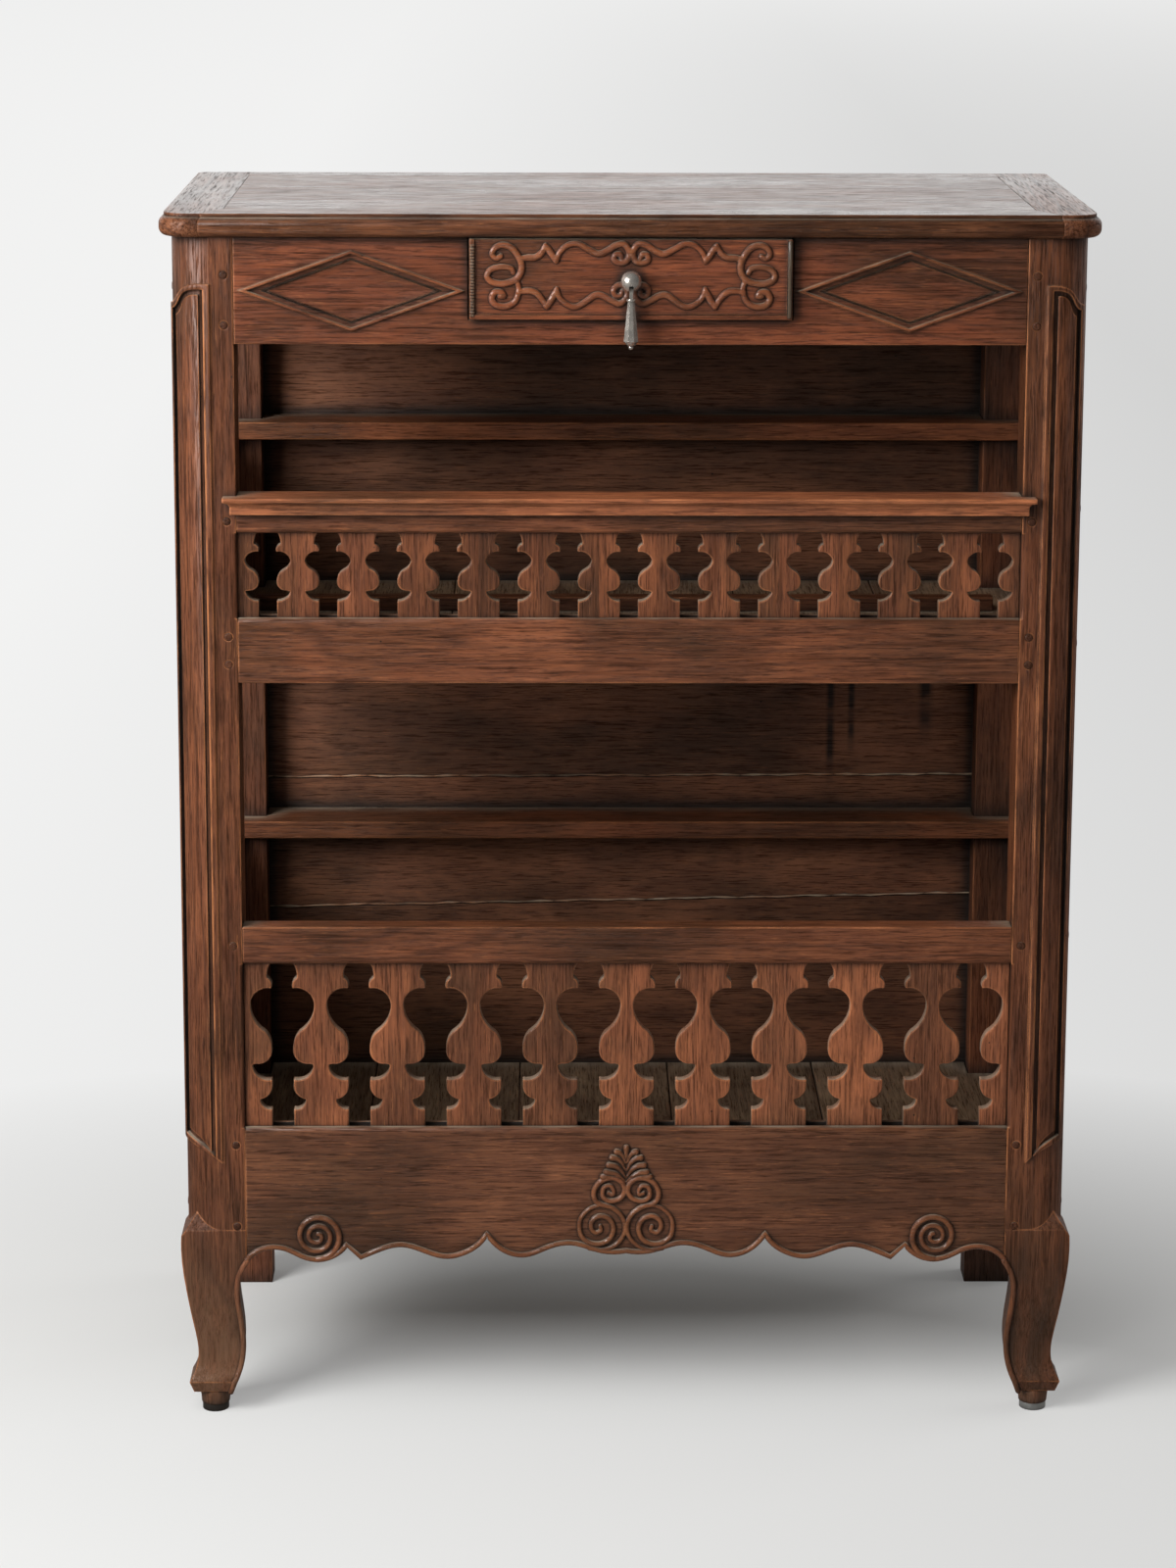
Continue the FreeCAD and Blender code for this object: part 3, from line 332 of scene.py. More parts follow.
    def carving(self, face):
        """Rubbed crests, and dark wax with painted shade at the feet of ridges that stand on a face."""
        tree = self.tree
        depth = part_of(tree, self.place, Y)
        crest = fade(tree, depth, face - 0.0014, face - 0.0036)
        rubbed = times(tree, crest, self.patchy(0.38, 0.62, 0.1, 0.6))
        self.lay(rubbed, rgba(self.finish.worn_edge, 0.55 * self.gain))
        # The lowest part of each ridge, where it meets the face, darkened: old wax and painted shade
        self.lay(fade(tree, depth, face - 0.0016, face - 0.0002, 0.0, 0.75), rgba(self.finish.grime_and_shade))

    def sawn_edges(self, strength):
        """Dust on the sawn edges of boards that face the front."""
        tree = self.tree
        frontal = calc(tree, "ABSOLUTE", part_of(tree, self.facing, Y))
        cut = times(tree, fade(tree, frontal, 0.75, 0.35, 0.0, strength), self.patchy(0.34, 0.58, 0.35, 1.0))
        self.lay(cut, rgba(self.finish.dust, 0.9))

    def wax_and_shade(self, dirt_and_shade, wax_shade_halo):
        """Dark wax and painted shade in corners, and darker close to joints and carving."""
        tree = self.tree
        # Darker where nearby surfaces hem a point in: old wax and painted shade
        self.soiled_and_shaded = times(tree, fade(tree, self.open_air, 0.88, 0.40), 0.92 * dirt_and_shade)
        self.lay(self.soiled_and_shaded, rgba(self.finish.grime_and_shade))
        if wax_shade_halo:
            near = openness(tree, self.joint_reach)
            self.lay(fade(tree, near, 0.98, 0.66, 0.0, wax_shade_halo), rgba(self.finish.grime_and_shade))

    def dust(self):
        """Dust on level faces next to something upright."""
        tree = self.tree
        level = fade(tree, part_of(tree, self.facing, Z), 0.55, 0.95)
        self.dusty = times(tree, level, fade(tree, self.open_air, 0.93, 0.60),
                           self.patchy(0.35, 0.60, 0.25, 0.85))
        self.lay(self.dusty, rgba(self.finish.dust))

    def polish(self, figure, gloss, shine, sheen):
        """Roughness, reflection and relief of the wax, and the end of the shader."""
        tree, ends = self.tree, self.shader.inputs
        rough = plus(tree, fade(tree, self.cloud, 0.34, 0.66, gloss - 0.06, gloss + 0.1),
                     times(tree, self.pores, 0.2), times(tree, self.soiled_and_shaded, 0.25),
                     times(tree, self.dusty, 0.4))
        reflect = times(tree, fade(tree, part_of(tree, self.facing, Z), 0.6, 0.98, shine, shine + sheen),
                        fade(tree, self.pores, 0.0, 1.0, 1.0, 0.35),
                        fade(tree, self.streak, 0.38, 0.56, 1.0 - 0.4 * figure, 1.0))
        relief = plus(tree, calc(tree, "SUBTRACT", times(tree, self.rings, 0.25), self.pores), self.streak)
        bump = node(tree, "ShaderNodeBump", {"Height": relief, "Strength": 0.5, "Distance": self.grain_depth,
                                             "Normal": self.round_off})
        tree.links.new(self.colour, ends["Base Color"])
        tree.links.new(rough, ends["Roughness"])
        tree.links.new(reflect, ends["Specular IOR Level"])
        tree.links.new(bump.outputs["Normal"], ends["Normal"])


def oak(name, axis, finish, ground, gain=1.0, boards=0.0, spread=0.16, figure=1.0, scuff=0.0, scuff_gain=2.2,
        stains=(), wear=1.0, face=None, sawn=0.0, dirt_and_shade=1.0, wax_shade_halo=0.0, gloss=0.36, shine=0.36, sheen=0.0):
    """A material of old oak with its grain along an axis.

    ground, gain: main colour, and a factor on all the wood's colours
    boards, spread: width of boards that differ in tone (0 for whole objects), and how far they differ
    figure: strength of the streaks and rings
    scuff, scuff_gain: height up to which the wood is scuffed, and a factor on the scuffs' colour
    stains: dark runs, each with its middle, half width, top and foot
    wear, dirt_and_shade, wax_shade_halo: strength of rubbed arrises, of wax and painted shade in corners and
    of wax and painted shade close to joints
    face: depth of the face that a carving stands on
    sawn: strength of the dust on sawn edges
    gloss, shine, sheen: roughness, reflection, and how much more a level face reflects
    """
    wood = OakShader(name, axis, finish, gain, boards)
    wood.clean_wood(ground, spread, figure)
    wood.pin_holes()
    if scuff:
        wood.scuffs(scuff, scuff_gain)
    for stain in stains:
        wood.stain(*stain)
    wood.worn_arrises(wear)
    if face is not None:
        wood.carving(face)
    if sawn:
        wood.sawn_edges(sawn)
    wood.wax_and_shade(dirt_and_shade, wax_shade_halo)
    wood.dust()
    wood.polish(figure, gloss, shine, sheen)
    return wood.material


def worn_metal(name, colour, roughness, rust=0.0):
    """Old cast metal with dark hollows; rust darkens what stands on the left."""
    made, tree, shader = new_material(name)
    rust_brown = (0.035, 0.022, 0.014)
    hollow_reach = 0.006
    place = node(tree, "ShaderNodeTexCoord").outputs["Object"]
    cloud = noise(tree, place, X, 90.0, 90.0, 3.0)
    pits = noise(tree, place, X, 1500.0, 1500.0, 2.0)
    tone = tint(tree, fade(tree, cloud, 0.35, 0.65), rgba(colour, 0.86), rgba(colour, 1.05))
    hollow = fade(tree, openness(tree, hollow_reach), 0.75, 0.25, 0.0, 0.85)
    tone = tint(tree, hollow, tone, rgba(colour, 0.12))
    if rust:
        left = fade(tree, part_of(tree, place, X), 0.1, -0.1, 0.0, rust)
        tone = tint(tree, left, tone, rgba(rust_brown))
    tree.links.new(tone, shader.inputs["Base Color"])
    rough = fade(tree, cloud, 0.3, 0.7, roughness - 0.04, roughness + 0.06)
    tree.links.new(rough, shader.inputs["Roughness"])
    bump = node(tree, "ShaderNodeBump", {"Height": pits, "Strength": 0.03, "Distance": 0.0001})
    tree.links.new(bump.outputs["Normal"], shader.inputs["Normal"])
    shader.inputs["Metallic"].default_value = 0.85
    return made


def dress(name, material):
    """Give a CAD node its material."""
    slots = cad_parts[name].data.materials
    slots.clear()
    slots.append(material)


def soften(name, width):
    """Round a CAD node's arrises with modifiers; its own mesh stays as it is."""
    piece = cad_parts[name]
    weld = piece.modifiers.new("weld", "WELD")
    weld.merge_threshold = SAME_POINT
    if name.endswith("splats"):
        flat = piece.modifiers.new("flat", "DECIMATE")
        flat.decimate_type = "DISSOLVE"
        flat.angle_limit = math.radians(0.3)
    bevel = piece.modifiers.new("arris", "BEVEL")
    bevel.width = width
    bevel.segments = 2
    bevel.limit_method = "ANGLE"
    bevel.angle_limit = math.radians(34)
    bevel.use_clamp_overlap = True
    bevel.harden_normals = True


def smooth_path(points, steps=6):
    """Points along a smooth line through given points."""
    path = []
    last = len(points) - 1
    for n in range(last):
        before, here = points[max(n - 1, 0)], points[n]
        there, after = points[n + 1], points[min(n + 2, last)]
        for step in range(steps):
            t = step / steps
            path.append(0.5 * (2 * here + (there - before) * t
                               + (2 * before - 5 * here + 4 * there - after) * t * t
                               + (3 * here - before - 3 * there + after) * t ** 3))
    path.append(points[last])
    return path


def on_face(points, face, widths, side=1, base=0.0):
    """A smooth stroke on a face through pairs in millimetres above a base, with half widths along it."""
    path = smooth_path([Vector((side * x * MM, z * MM + base)) for x, z in points])
    stroke = []
    for n, place in enumerate(path):
        along = n / (len(path) - 1) * (len(widths) - 1)
        first = min(int(along), len(widths) - 2)
        width = widths[first] + (widths[first + 1] - widths[first]) * (along - first)
        stroke.append((place.x, face, place.y, width))
    return stroke


def round_ends(stroke):
    """A stroke drawn out at both ends to a rounded point."""
    # How far out and how wide a rounded end is, in half widths of the stroke
    steps = ((0.5, 0.87), (0.87, 0.5), (1.0, 0.05))

    def tip(end, before):
        here, back = Vector(end[:3]), Vector(before[:3])
        ahead = (here - back).normalized() * end[3]
        return [(*(here + ahead * reach), end[3] * share) for reach, share in steps]

    return tip(stroke[0], stroke[1])[::-1] + list(stroke) + tip(stroke[-1], stroke[-2])


def spiral(centre, face, outer, inner, start, turns, half_width, side=1):
    """A stroke that winds in clockwise, as the viewer sees the right-hand one, from a start angle."""
    steps_in_turn = 28
    taper = 0.25
    stroke = []
    count = int(turns * steps_in_turn)
    for n in range(count + 1):
        share = n / count
        angle = math.radians(start) - 2 * math.pi * turns * share
        reach = outer + (inner - outer) * share
        x = side * (centre[0] + reach * math.cos(angle))
        z = centre[1] + reach * math.sin(angle)
        stroke.append((x, face, z, half_width * (1.0 - taper * share)))
    return stroke


def carved(name, strokes, relief, face, body, material):
    """Rounded ridges that stand on a face: each stroke is a list of (x, y, z, half width) in metres."""
    line = bpy.data.curves.new(name, "CURVE")
    line.dimensions = "3D"
    line.bevel_depth = 1.0
    line.bevel_resolution = 3
    line.use_fill_caps = True
    for stroke in map(round_ends, strokes):
        spline = line.splines.new("POLY")
        spline.points.add(len(stroke) - 1)
        for point, (x, y, z, half_width) in zip(spline.points, stroke):
            point.co = (x, y, z, 1.0)
            point.radius = half_width
    helper = bpy.data.objects.new(name + "_line", line)
    mesh = bpy.data.meshes.new_from_object(helper)
    bpy.data.objects.remove(helper)
    bpy.data.curves.remove(line)
    mesh.name = name
    for vertex in mesh.vertices:
        vertex.co.y = face + (vertex.co.y - face) * relief
    mesh.polygons.foreach_set("use_smooth", [True] * len(mesh.polygons))
    mesh.materials.clear()
    mesh.materials.append(material)
    piece = bpy.data.objects.new(name, mesh)
    bpy.context.collection.objects.link(piece)
    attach(piece, body)


def inner_leg_edge(name, side, top):
    """Points down the sharp inner edge of a leg's front, from the apron to the foot."""
    margin = 0.0005
    turned = 0.7  # Least share of a normal that counts as facing a way
    shape = bmesh.new()
    shape.from_mesh(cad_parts[name].data)
    bmesh.ops.remove_doubles(shape, verts=shape.verts, dist=SAME_POINT)
    found = {}
    for edge in shape.edges:
        if len(edge.link_faces) == 2 and max(v.co.z for v in edge.verts) < top + margin:
            normals = [face.normal for face in edge.link_faces]
            forward = max(-normal.y for normal in normals)
            inward = max(-side * normal.x for normal in normals)
            if forward > turned and inward > turned:
                for vertex in edge.verts:
                    found[round(vertex.co.z, 4)] = tuple(vertex.co)
    shape.free()
    return [found[z] for z in sorted(found, reverse=True)]


class DRESSER_OT_timber(bpy.types.Operator):
    """Finish every CAD node in its oak or metal, with softened arrises"""

    bl_idname = "dresser.timber"
    bl_label = "Timber and Metal"

    fine_arris = 0.0004  # Rounding of the metal and the pegs
    board_arris = 1.6  # Rounding of planks and back boards, as a factor
    upper_pitch = 0.912 / 13  # Width from one splat to the next
    lower_pitch = 0.912 / 10
    shelf_board = 0.17  # Width of a shelf board
    # Middle, half width, top and foot of each dark run on the back
    stains = ((0.272, 0.007, 0.925, 0.66), (0.299, 0.006, 0.925, 0.70), (0.395, 0.012, 0.925, 0.72))
    side_nodes = tuple(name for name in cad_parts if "_side_" in name and not name.startswith("drawer"))

    def execute(self, context):
        finish = context.scene.dresser_finish
        for name, axis, ground, settings, nodes in self.oaks():
            material = oak(name, axis, finish, getattr(finish, ground), **settings)
            for wearer in nodes:
                dress(wearer, material)
        pewter = worn_metal("pewter", finish.pewter, 0.24)
        for wearer in ("pull_ball", "pull_pin", "pull_nut", "pull_drop"):
            dress(wearer, pewter)
        dress("foot_glides", worn_metal("glide_steel", finish.glide, 0.34, rust=0.9))
        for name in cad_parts:
            soften(name, self.arris(name, finish.edge_round))
        return {"FINISHED"}

    def arris(self, name, width):
        """Rounding of a CAD node's arrises."""
        if name.startswith("pull_") or name in ("joint_pegs", "foot_glides"):
            return self.fine_arris
        if name.startswith(("back_board", "top_plank")):
            return self.board_arris * width
        return width

    def oaks(self):
        """Each oak with its grain's axis, its ground colour, its settings and the CAD nodes made of it."""
        apron_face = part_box("apron")[0][1]
        drawer_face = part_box("drawer_front")[0][1] + BEAD_PROUD
        splat = {"wear": 1.3, "sawn": 0.6, "dirt_and_shade": 0.8}
        back = {"wear": 0.5, "gloss": 0.5, "figure": 0.5, "wax_shade_halo": 0.8}
        inside = {"wear": 0.5, "gloss": 0.6}
        shelf = {"boards": self.shelf_board, **inside}
        top = {"wear": 0.35, "sheen": 0.85, "wax_shade_halo": 0.9}
        post = {"wear": 1.9, "figure": 1.5}
        return (
            # Front frame
            ("waxed_oak_across", X, "oak_mid", {"wear": 1.4, "figure": 1.35},
             ("upper_gallery_rail", "upper_shelf_rail", "lower_gallery_rail", "shelf_stop")),
            ("waxed_oak_frieze", X, "drawer_mid", {"gain": 1.12, "figure": 1.3, "wax_shade_halo": 0.7, "wear": 1.4},
             ("frieze_rail",)),
            ("waxed_oak_cap", X, "oak_mid", {"gain": 1.88, "figure": 1.3, "wear": 1.15},
             ("upper_gallery_cap",)),
            ("waxed_oak_apron", X, "apron_mid", {"figure": 0.9, "wax_shade_halo": 0.8}, ("apron",)),
            ("waxed_oak_drawer", X, "drawer_mid", {"wax_shade_halo": 0.9, "gloss": 0.32}, ("drawer_front",)),
            ("waxed_oak_upright", Z, "oak_mid", {"scuff": 0.26, **post}, ("left_front_post", "foot_pads")),
            # Right post and its leg bead: darker scuffs, painted shade, as that side lies out of the light
            ("waxed_oak_upright_right_shaded", Z, "oak_mid", {"scuff": 0.34, "scuff_gain": 0.75, **post},
             ("right_front_post",)),
            ("waxed_oak_pegs", Y, "oak_mid", {"gain": 0.55, "wear": 0.3}, ("joint_pegs",)),
            ("waxed_oak_upper_splats", Z, "oak_mid", {"gain": 1.1, "boards": self.upper_pitch, **splat},
             ("upper_splats",)),
            ("waxed_oak_lower_splats", Z, "oak_mid", {"gain": 1.45, "boards": self.lower_pitch, **splat},
             ("lower_splats",)),
            # Carving, which the other operators make
            ("waxed_oak_carving", X, "oak_mid",
             {"figure": 0.5, "face": apron_face, "gloss": 0.20, "shine": 0.65}, ()),
            ("waxed_oak_strapwork", X, "drawer_mid",
             {"figure": 0.5, "face": drawer_face, "gloss": 0.18, "shine": 0.7}, ()),
            # Pale grey-brown drawer beads: painted highlight of their polish
            ("waxed_oak_beads_highlight", Z, "dust", {"gain": 0.45, "dirt_and_shade": 0.8, "gloss": 0.16, "shine": 0.8}, ()),
            # Pale frayed arrises along the back's front seams: partly painted highlight
            ("inner_oak_seam_highlight", X, "dust", {"gain": 1.6, "dirt_and_shade": 0.2, "gloss": 0.6}, ()),
            # Dark strokes in the back's seams: painted shade in the gaps
            ("inner_oak_gap_shade", X, "grime_and_shade", {"gain": 0.6, "figure": 0.3, "wear": 0.0, "gloss": 0.7}, ()),
            # Top, sides, back and inside
            ("top_oak_across", X, "top_mid", {"figure": 1.7, "gloss": 0.28, **top},
             ("top_front_rail", "top_back_rail", "top_plank_1", "top_plank_2", "top_plank_3")),
            ("top_oak_deep", Y, "top_mid", {"figure": 2.0, "gloss": 0.30, **top},
             ("top_left_cleat", "top_right_cleat")),
            ("waxed_oak_deep", Y, "oak_mid", {}, self.side_nodes),
            # Ledges lighter than the frame's oak: painted light on them inside the tiers
            ("waxed_oak_ledge_lit", X, "oak_mid", {"gain": 1.28, "wear": 1.15}, ("upper_ledge", "lower_ledge")),
            ("inner_oak_across", X, "inner_mid", {"gain": 1.06, "spread": 0.3, "stains": self.stains, **back},
             ("back_board_1", "back_board_2", "back_board_3", "rear_top_rail", "rear_shelf_rail",
              "rear_bottom_rail", "drawer_back", "drawer_bottom")),
            # The two upper back boards darker: painted shade in the upper tier
            ("inner_oak_upper_back_shaded", X, "inner_mid", {"gain": 0.76, **back},
             ("back_board_4", "back_board_5")),
            ("inner_oak_upright", Z, "oak_mid", {"wear": 0.7, "gloss": 0.55},
             ("left_rear_post", "right_rear_post")),
            ("inner_oak_deep", Y, "inner_mid", inside,
             ("left_drawer_runner", "right_drawer_runner", "drawer_left_side", "drawer_right_side")),
            # Upper shelf boards 1.75 times lighter: painted light, as little light reaches them
            ("inner_oak_upper_shelf_lit", Y, "shelf_mid", {"gain": 1.75, **shelf}, ("upper_shelf_boards",)),
            ("inner_oak_lower_shelf", Y, "shelf_mid", shelf, ("lower_shelf_boards",)),
        )


class DRESSER_OT_apron(bpy.types.Operator):
    """Carve the bead along the apron, the beads down the legs and the two scrolls at the apron's ends"""

    bl_idname = "dresser.apron"
    bl_label = "Apron Carving"

    edge_band = 0.036  # Height of the band that holds the scalloped edge
    bead_lift = 0.6  # How far the bead lies above the edge, in half widths
    # Metres, and degrees for the start
    scroll = {"centre": (0.371, 0.2285), "outer": 0.029, "inner": 0.003, "start": -90, "turns": 2.45}
    leg_oak = {"left": "waxed_oak_upright", "right": "waxed_oak_upright_right_shaded"}

    def execute(self, context):
        carving = context.scene.dresser_carving
        wood = bpy.data.materials["waxed_oak_carving"]
        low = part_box("apron")[0]
        face = low[1]
        edge = sorted({(round(v.co.x, 5), round(v.co.z, 5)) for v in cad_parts["apron"].data.vertices
                       if v.co.y < face + SAME_POINT and v.co.z < low[2] + self.edge_band})
        lift = carving.bead_radius * self.bead_lift
        bead = [(x, face, z + lift, carving.bead_radius) for x, z in edge]
        carved("apron_edge_bead", [bead], carving.relief, face, "carcass", wood)
        for side, label in ((-1, "left"), (1, "right")):
            leg_edge = inner_leg_edge(label + "_front_post", side, low[2])
            run = [(x, y, z, carving.bead_radius) for x, y, z in leg_edge]
            carved(label + "_leg_bead", [run], 1.0, face, "carcass", bpy.data.materials[self.leg_oak[label]])
            stroke = spiral(face=face, half_width=carving.scroll_radius, side=side, **self.scroll)
            carved(label + "_apron_scroll", [stroke], carving.relief, face, "carcass", wood)
        return {"FINISHED"}


class DRESSER_OT_palmette(bpy.types.Operator):
    """Carve the palmette over its two pairs of scrolls in the middle of the apron"""

    bl_idname = "dresser.palmette"
    bl_label = "Palmette"

    # Millimetres from the middle of the apron and from the floor, for the right half
    upper_scroll = ((21, 283), (16, 281), (15, 286), (19, 292), (27, 290), (28, 279), (20, 273), (8, 276),
                    (2, 285), (5, 296), (16, 302), (29, 299), (38, 288), (38, 276), (31, 269), (18, 265),
                    (6, 255), (1, 240), (5, 226), (16, 215), (30, 211), (44, 213))
    lower_scroll = ((31, 268), (44, 263), (54, 252), (56, 240), (53, 228), (43, 220), (30, 219), (19, 226),
                    (15, 239), (20, 250), (31, 254), (40, 249), (42, 240), (37, 233), (30, 236), (31, 241))
    lobes = (((1, 321), (4, 329), (8, 334), (11.5, 335)), ((1, 312), (5, 320.5), (11, 326.5), (17, 327.5)),
             ((1, 303.5), (6, 311.5), (13, 317), (21, 318)), ((1, 297), (7, 303.5), (15, 308), (24, 309.5)),
             ((3, 295), (11, 300), (19, 302.5), (28, 303.5)))
    tip = ((0, 326), (0, 334), (0, 340))

    # Half widths along a strand and a leaf, as shares of the ridge, itself a share of the scrolls' ridge
    ridge_share = 0.9
    strand_widths = (0.7, 1.0, 1.0, 0.8)
    leaf_widths = (0.4, 0.9, 1.2)

    def execute(self, context):
        carving = context.scene.dresser_carving
        wood = bpy.data.materials["waxed_oak_carving"]
        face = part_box("apron")[0][1]
        ridge = carving.scroll_radius * self.ridge_share
        strand = [share * ridge for share in self.strand_widths]
        leaf = [share * ridge for share in self.leaf_widths]
        scrolls = []
        leaves = [on_face(self.tip, face, leaf)]
        for side in (-1, 1):
            scrolls.append(on_face(self.upper_scroll, face, strand, side))
            scrolls.append(on_face(self.lower_scroll, face, strand, side))
            leaves += [on_face(lobe, face, leaf, side) for lobe in self.lobes]
        carved("palmette_scrolls", scrolls, carving.relief, face, "carcass", wood)
        carved("palmette_leaves", leaves, carving.relief, face, "carcass", wood)
        return {"FINISHED"}


class DRESSER_OT_strapwork(bpy.types.Operator):
    """Carve the drawer front's looping strapwork, its notched left bead and its plain right one"""

    bl_idname = "dresser.strapwork"
    bl_label = "Drawer Strapwork"

    # Millimetres from the middle of the drawer front, for the left half
    strokes = (
        ((-148.9, 26.6), (-154.1, 24.0), (-158.7, 29.0), (-155.5, 36.0), (-146.9, 39.5), (-136.8, 36.3),
         (-129.6, 27.5), (-125.3, 17.3), (-126.4, 7.0), (-133.3, -1.2), (-146.9, -5.0), (-159.8, -2.6),
         (-164.7, 4.4), (-159.8, 11.4), (-148.3, 14.3), (-137.4, 12.6), (-134.5, 7.9)),
        ((-149.8, -19.4), (-145.4, -19.4), (-148.3, -14.9), (-155.5, -14.9), (-159.3, -22.2), (-154.1, -29.6),
         (-142.6, -31.0), (-132.5, -25.2), (-128.2, -12.0), (-130.5, -1.8)),
        ((-126.4, 23.7), (-118.9, 24.9), (-109.4, 25.4), (-102.8, 30.1), (-97.9, 38.9)),
        ((-97.9, 38.9), (-93.0, 32.5), (-85.5, 20.8)),
        ((-85.5, 20.8), (-81.5, 31.3), (-72.0, 39.5), (-60.5, 40.7), (-49.0, 34.8), (-37.4, 29.5),
         (-27.4, 33.0), (-18.1, 38.9), (-8.6, 40.7), (-3.2, 34.8), (-2.0, 27.5), (-5.8, 20.8), (-13.0, 19.0),
         (-19.3, 22.5), (-18.1, 28.1), (-13.0, 29.0), (-10.7, 24.9)),
        ((-128.7, -14.9), (-121.0, -13.2), (-110.9, -14.3), (-102.8, -21.4), (-96.5, -31.9)),
        ((-96.5, -31.9), (-91.3, -23.7), (-85.0, -11.4)),
        ((-85.0, -11.4), (-81.5, -21.4), (-72.0, -29.6), (-61.9, -31.3), (-51.8, -25.5), (-41.8, -18.4),
         (-33.1, -18.4), (-23.0, -23.7), (-13.0, -27.8), (-5.8, -22.2), (-3.7, -14.3), (-7.2, -7.9),
         (-14.4, -6.7), (-19.9, -12.0), (-17.6, -18.4), (-11.8, -18.4), (-10.1, -13.8)),
    )
    strap_widths = (0.8, 1.0, 1.0, 0.8)  # Half widths along a strap, as shares of its own
    strap_relief = 0.75
    bead_relief = 0.8
    notch_share = 0.32  # Half width of a notch, as a share of the strap's
    notch_pitch = 2.6  # From one notch to the next, in half widths
    notch_foot = 0.005  # Height of the first notch in the rim
    notch_margin = 0.008  # Height of the rim without notches
    notch_ends = (0.0016, 0.0048)  # Ends of a notch from the left edge
    # From the right edge, from its ends, and half width
    end_bead = {"inset": 0.003, "margin": 0.004, "radius": 0.0026}

    def execute(self, context):
        carving = context.scene.dresser_carving
        low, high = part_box("drawer_front")
        self.straps(carving, low, high)
        # rubbed: the beads' pale colour, a painted highlight of their polish
        rubbed = bpy.data.materials["waxed_oak_beads_highlight"]
        notches = self.notches(carving.strap_radius * self.notch_share, low, high)
        carved("drawer_notched_bead", notches, self.bead_relief, low[1], "drawer", rubbed)
        end = high[0] - self.end_bead["inset"]
        margin, radius = self.end_bead["margin"], self.end_bead["radius"]
        bead = [(end, low[1], low[2] + margin, radius), (end, low[1], high[2] - margin, radius)]
        carved("drawer_end_bead", [bead], self.bead_relief, low[1], "drawer", rubbed)
        return {"FINISHED"}

    def straps(self, carving, low, high):
        """The strapwork of both halves, on the field of the drawer front."""
        wood = bpy.data.materials["waxed_oak_strapwork"]
        face = low[1] + BEAD_PROUD
        middle = (low[2] + high[2]) / 2
        widths = [share * carving.strap_radius for share in self.strap_widths]
        ridges = [on_face(stroke, face, widths, side, middle) for side in (1, -1) for stroke in self.strokes]
        carved("drawer_strapwork", ridges, self.strap_relief * carving.relief, face, "drawer", wood)

    def notches(self, notch, low, high):
        """Short level strokes up the left edge of the rim."""
        pitch = self.notch_pitch * notch
        strokes = []
        for step in range(int((high[2] - low[2] - self.notch_margin) / pitch)):
            z = low[2] + self.notch_foot + step * pitch
            strokes.append([(low[0] + end, low[1], z, notch) for end in self.notch_ends])
        return strokes


class DRESSER_OT_seams(bpy.types.Operator):
    """Lay dark strokes of painted shade in the seams' gaps of the back boards, on both faces, and pale frayed
    arrises with painted highlight along the front ones
    """

    bl_idname = "dresser.seams"
    bl_label = "Back Board Seams"

    steps = 60  # Steps along a seam
    same_face = 0.0001  # Points of a board this close to a face lie on it
    wander = ((0.0005, 1.9), (0.0004, 0.73))  # Height and pace of two waves that the edge follows
    fray = (0.5, 2.7)  # Share and pace of the wave in the edge's width
    shade_drop = 0.0006  # How far the painted shade lies below the frayed edge
    shade_width = 1.5  # Half width of the painted shade, in half widths of the edge
    shade_relief = 0.3
    edge_relief = 0.9

    def execute(self, context):
        names = sorted(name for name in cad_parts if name.startswith("back_board"))
        half_width = context.scene.dresser_finish.seam / 2
        low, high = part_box(names[0])
        front = [self.frayed_edge(name, low[1], half_width) for name in names[:-1]]
        rear = [self.frayed_edge(name, high[1], half_width) for name in names[:-1]]
        wood = bpy.data.materials["inner_oak_seam_highlight"]
        # wax: the dark colour of the painted shade in the seams' gaps
        wax = bpy.data.materials["inner_oak_gap_shade"]
        front_shade, rear_shade = self.wax(front, half_width), self.wax(rear, half_width)
        carved("back_seam_wax", front_shade, self.shade_relief, low[1], "carcass", wax)
        carved("back_seam_rear_wax", rear_shade, self.shade_relief, high[1], "carcass", wax)
        # Pale frayed arrises along the front seams, partly painted highlight at the seams' edges
        carved("back_seam_edges", front, self.edge_relief, low[1], "carcass", wood)
        return {"FINISHED"}

    def frayed_edge(self, name, face, half_width):
        """A stroke that wanders along a back board's upper edge on one of its faces."""
        edge = [v.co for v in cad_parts[name].data.vertices if abs(v.co.y - face) < self.same_face]
        left = max((v for v in edge if v.x < 0), key=lambda v: v.z)
        right = max((v for v in edge if v.x > 0), key=lambda v: v.z)
        (quick, quick_pace), (slow, slow_pace) = self.wander
        stroke = []
        for step in range(self.steps + 1):
            place = left.lerp(right, step / self.steps)
            stray = quick * math.sin(step * quick_pace) + slow * math.sin(step * slow_pace + face)
            width = half_width * (1.0 + self.fray[0] * math.sin(step * self.fray[1]))
            stroke.append((place.x, face, place.z + half_width + stray, width))
        return stroke

    def wax(self, strokes, half_width):
        """Broader strokes just below frayed edges: painted shade in the seams' gaps."""
        return [[(x, y, z - self.shade_drop, self.shade_width * half_width) for x, y, z, _ in stroke]
                for stroke in strokes]


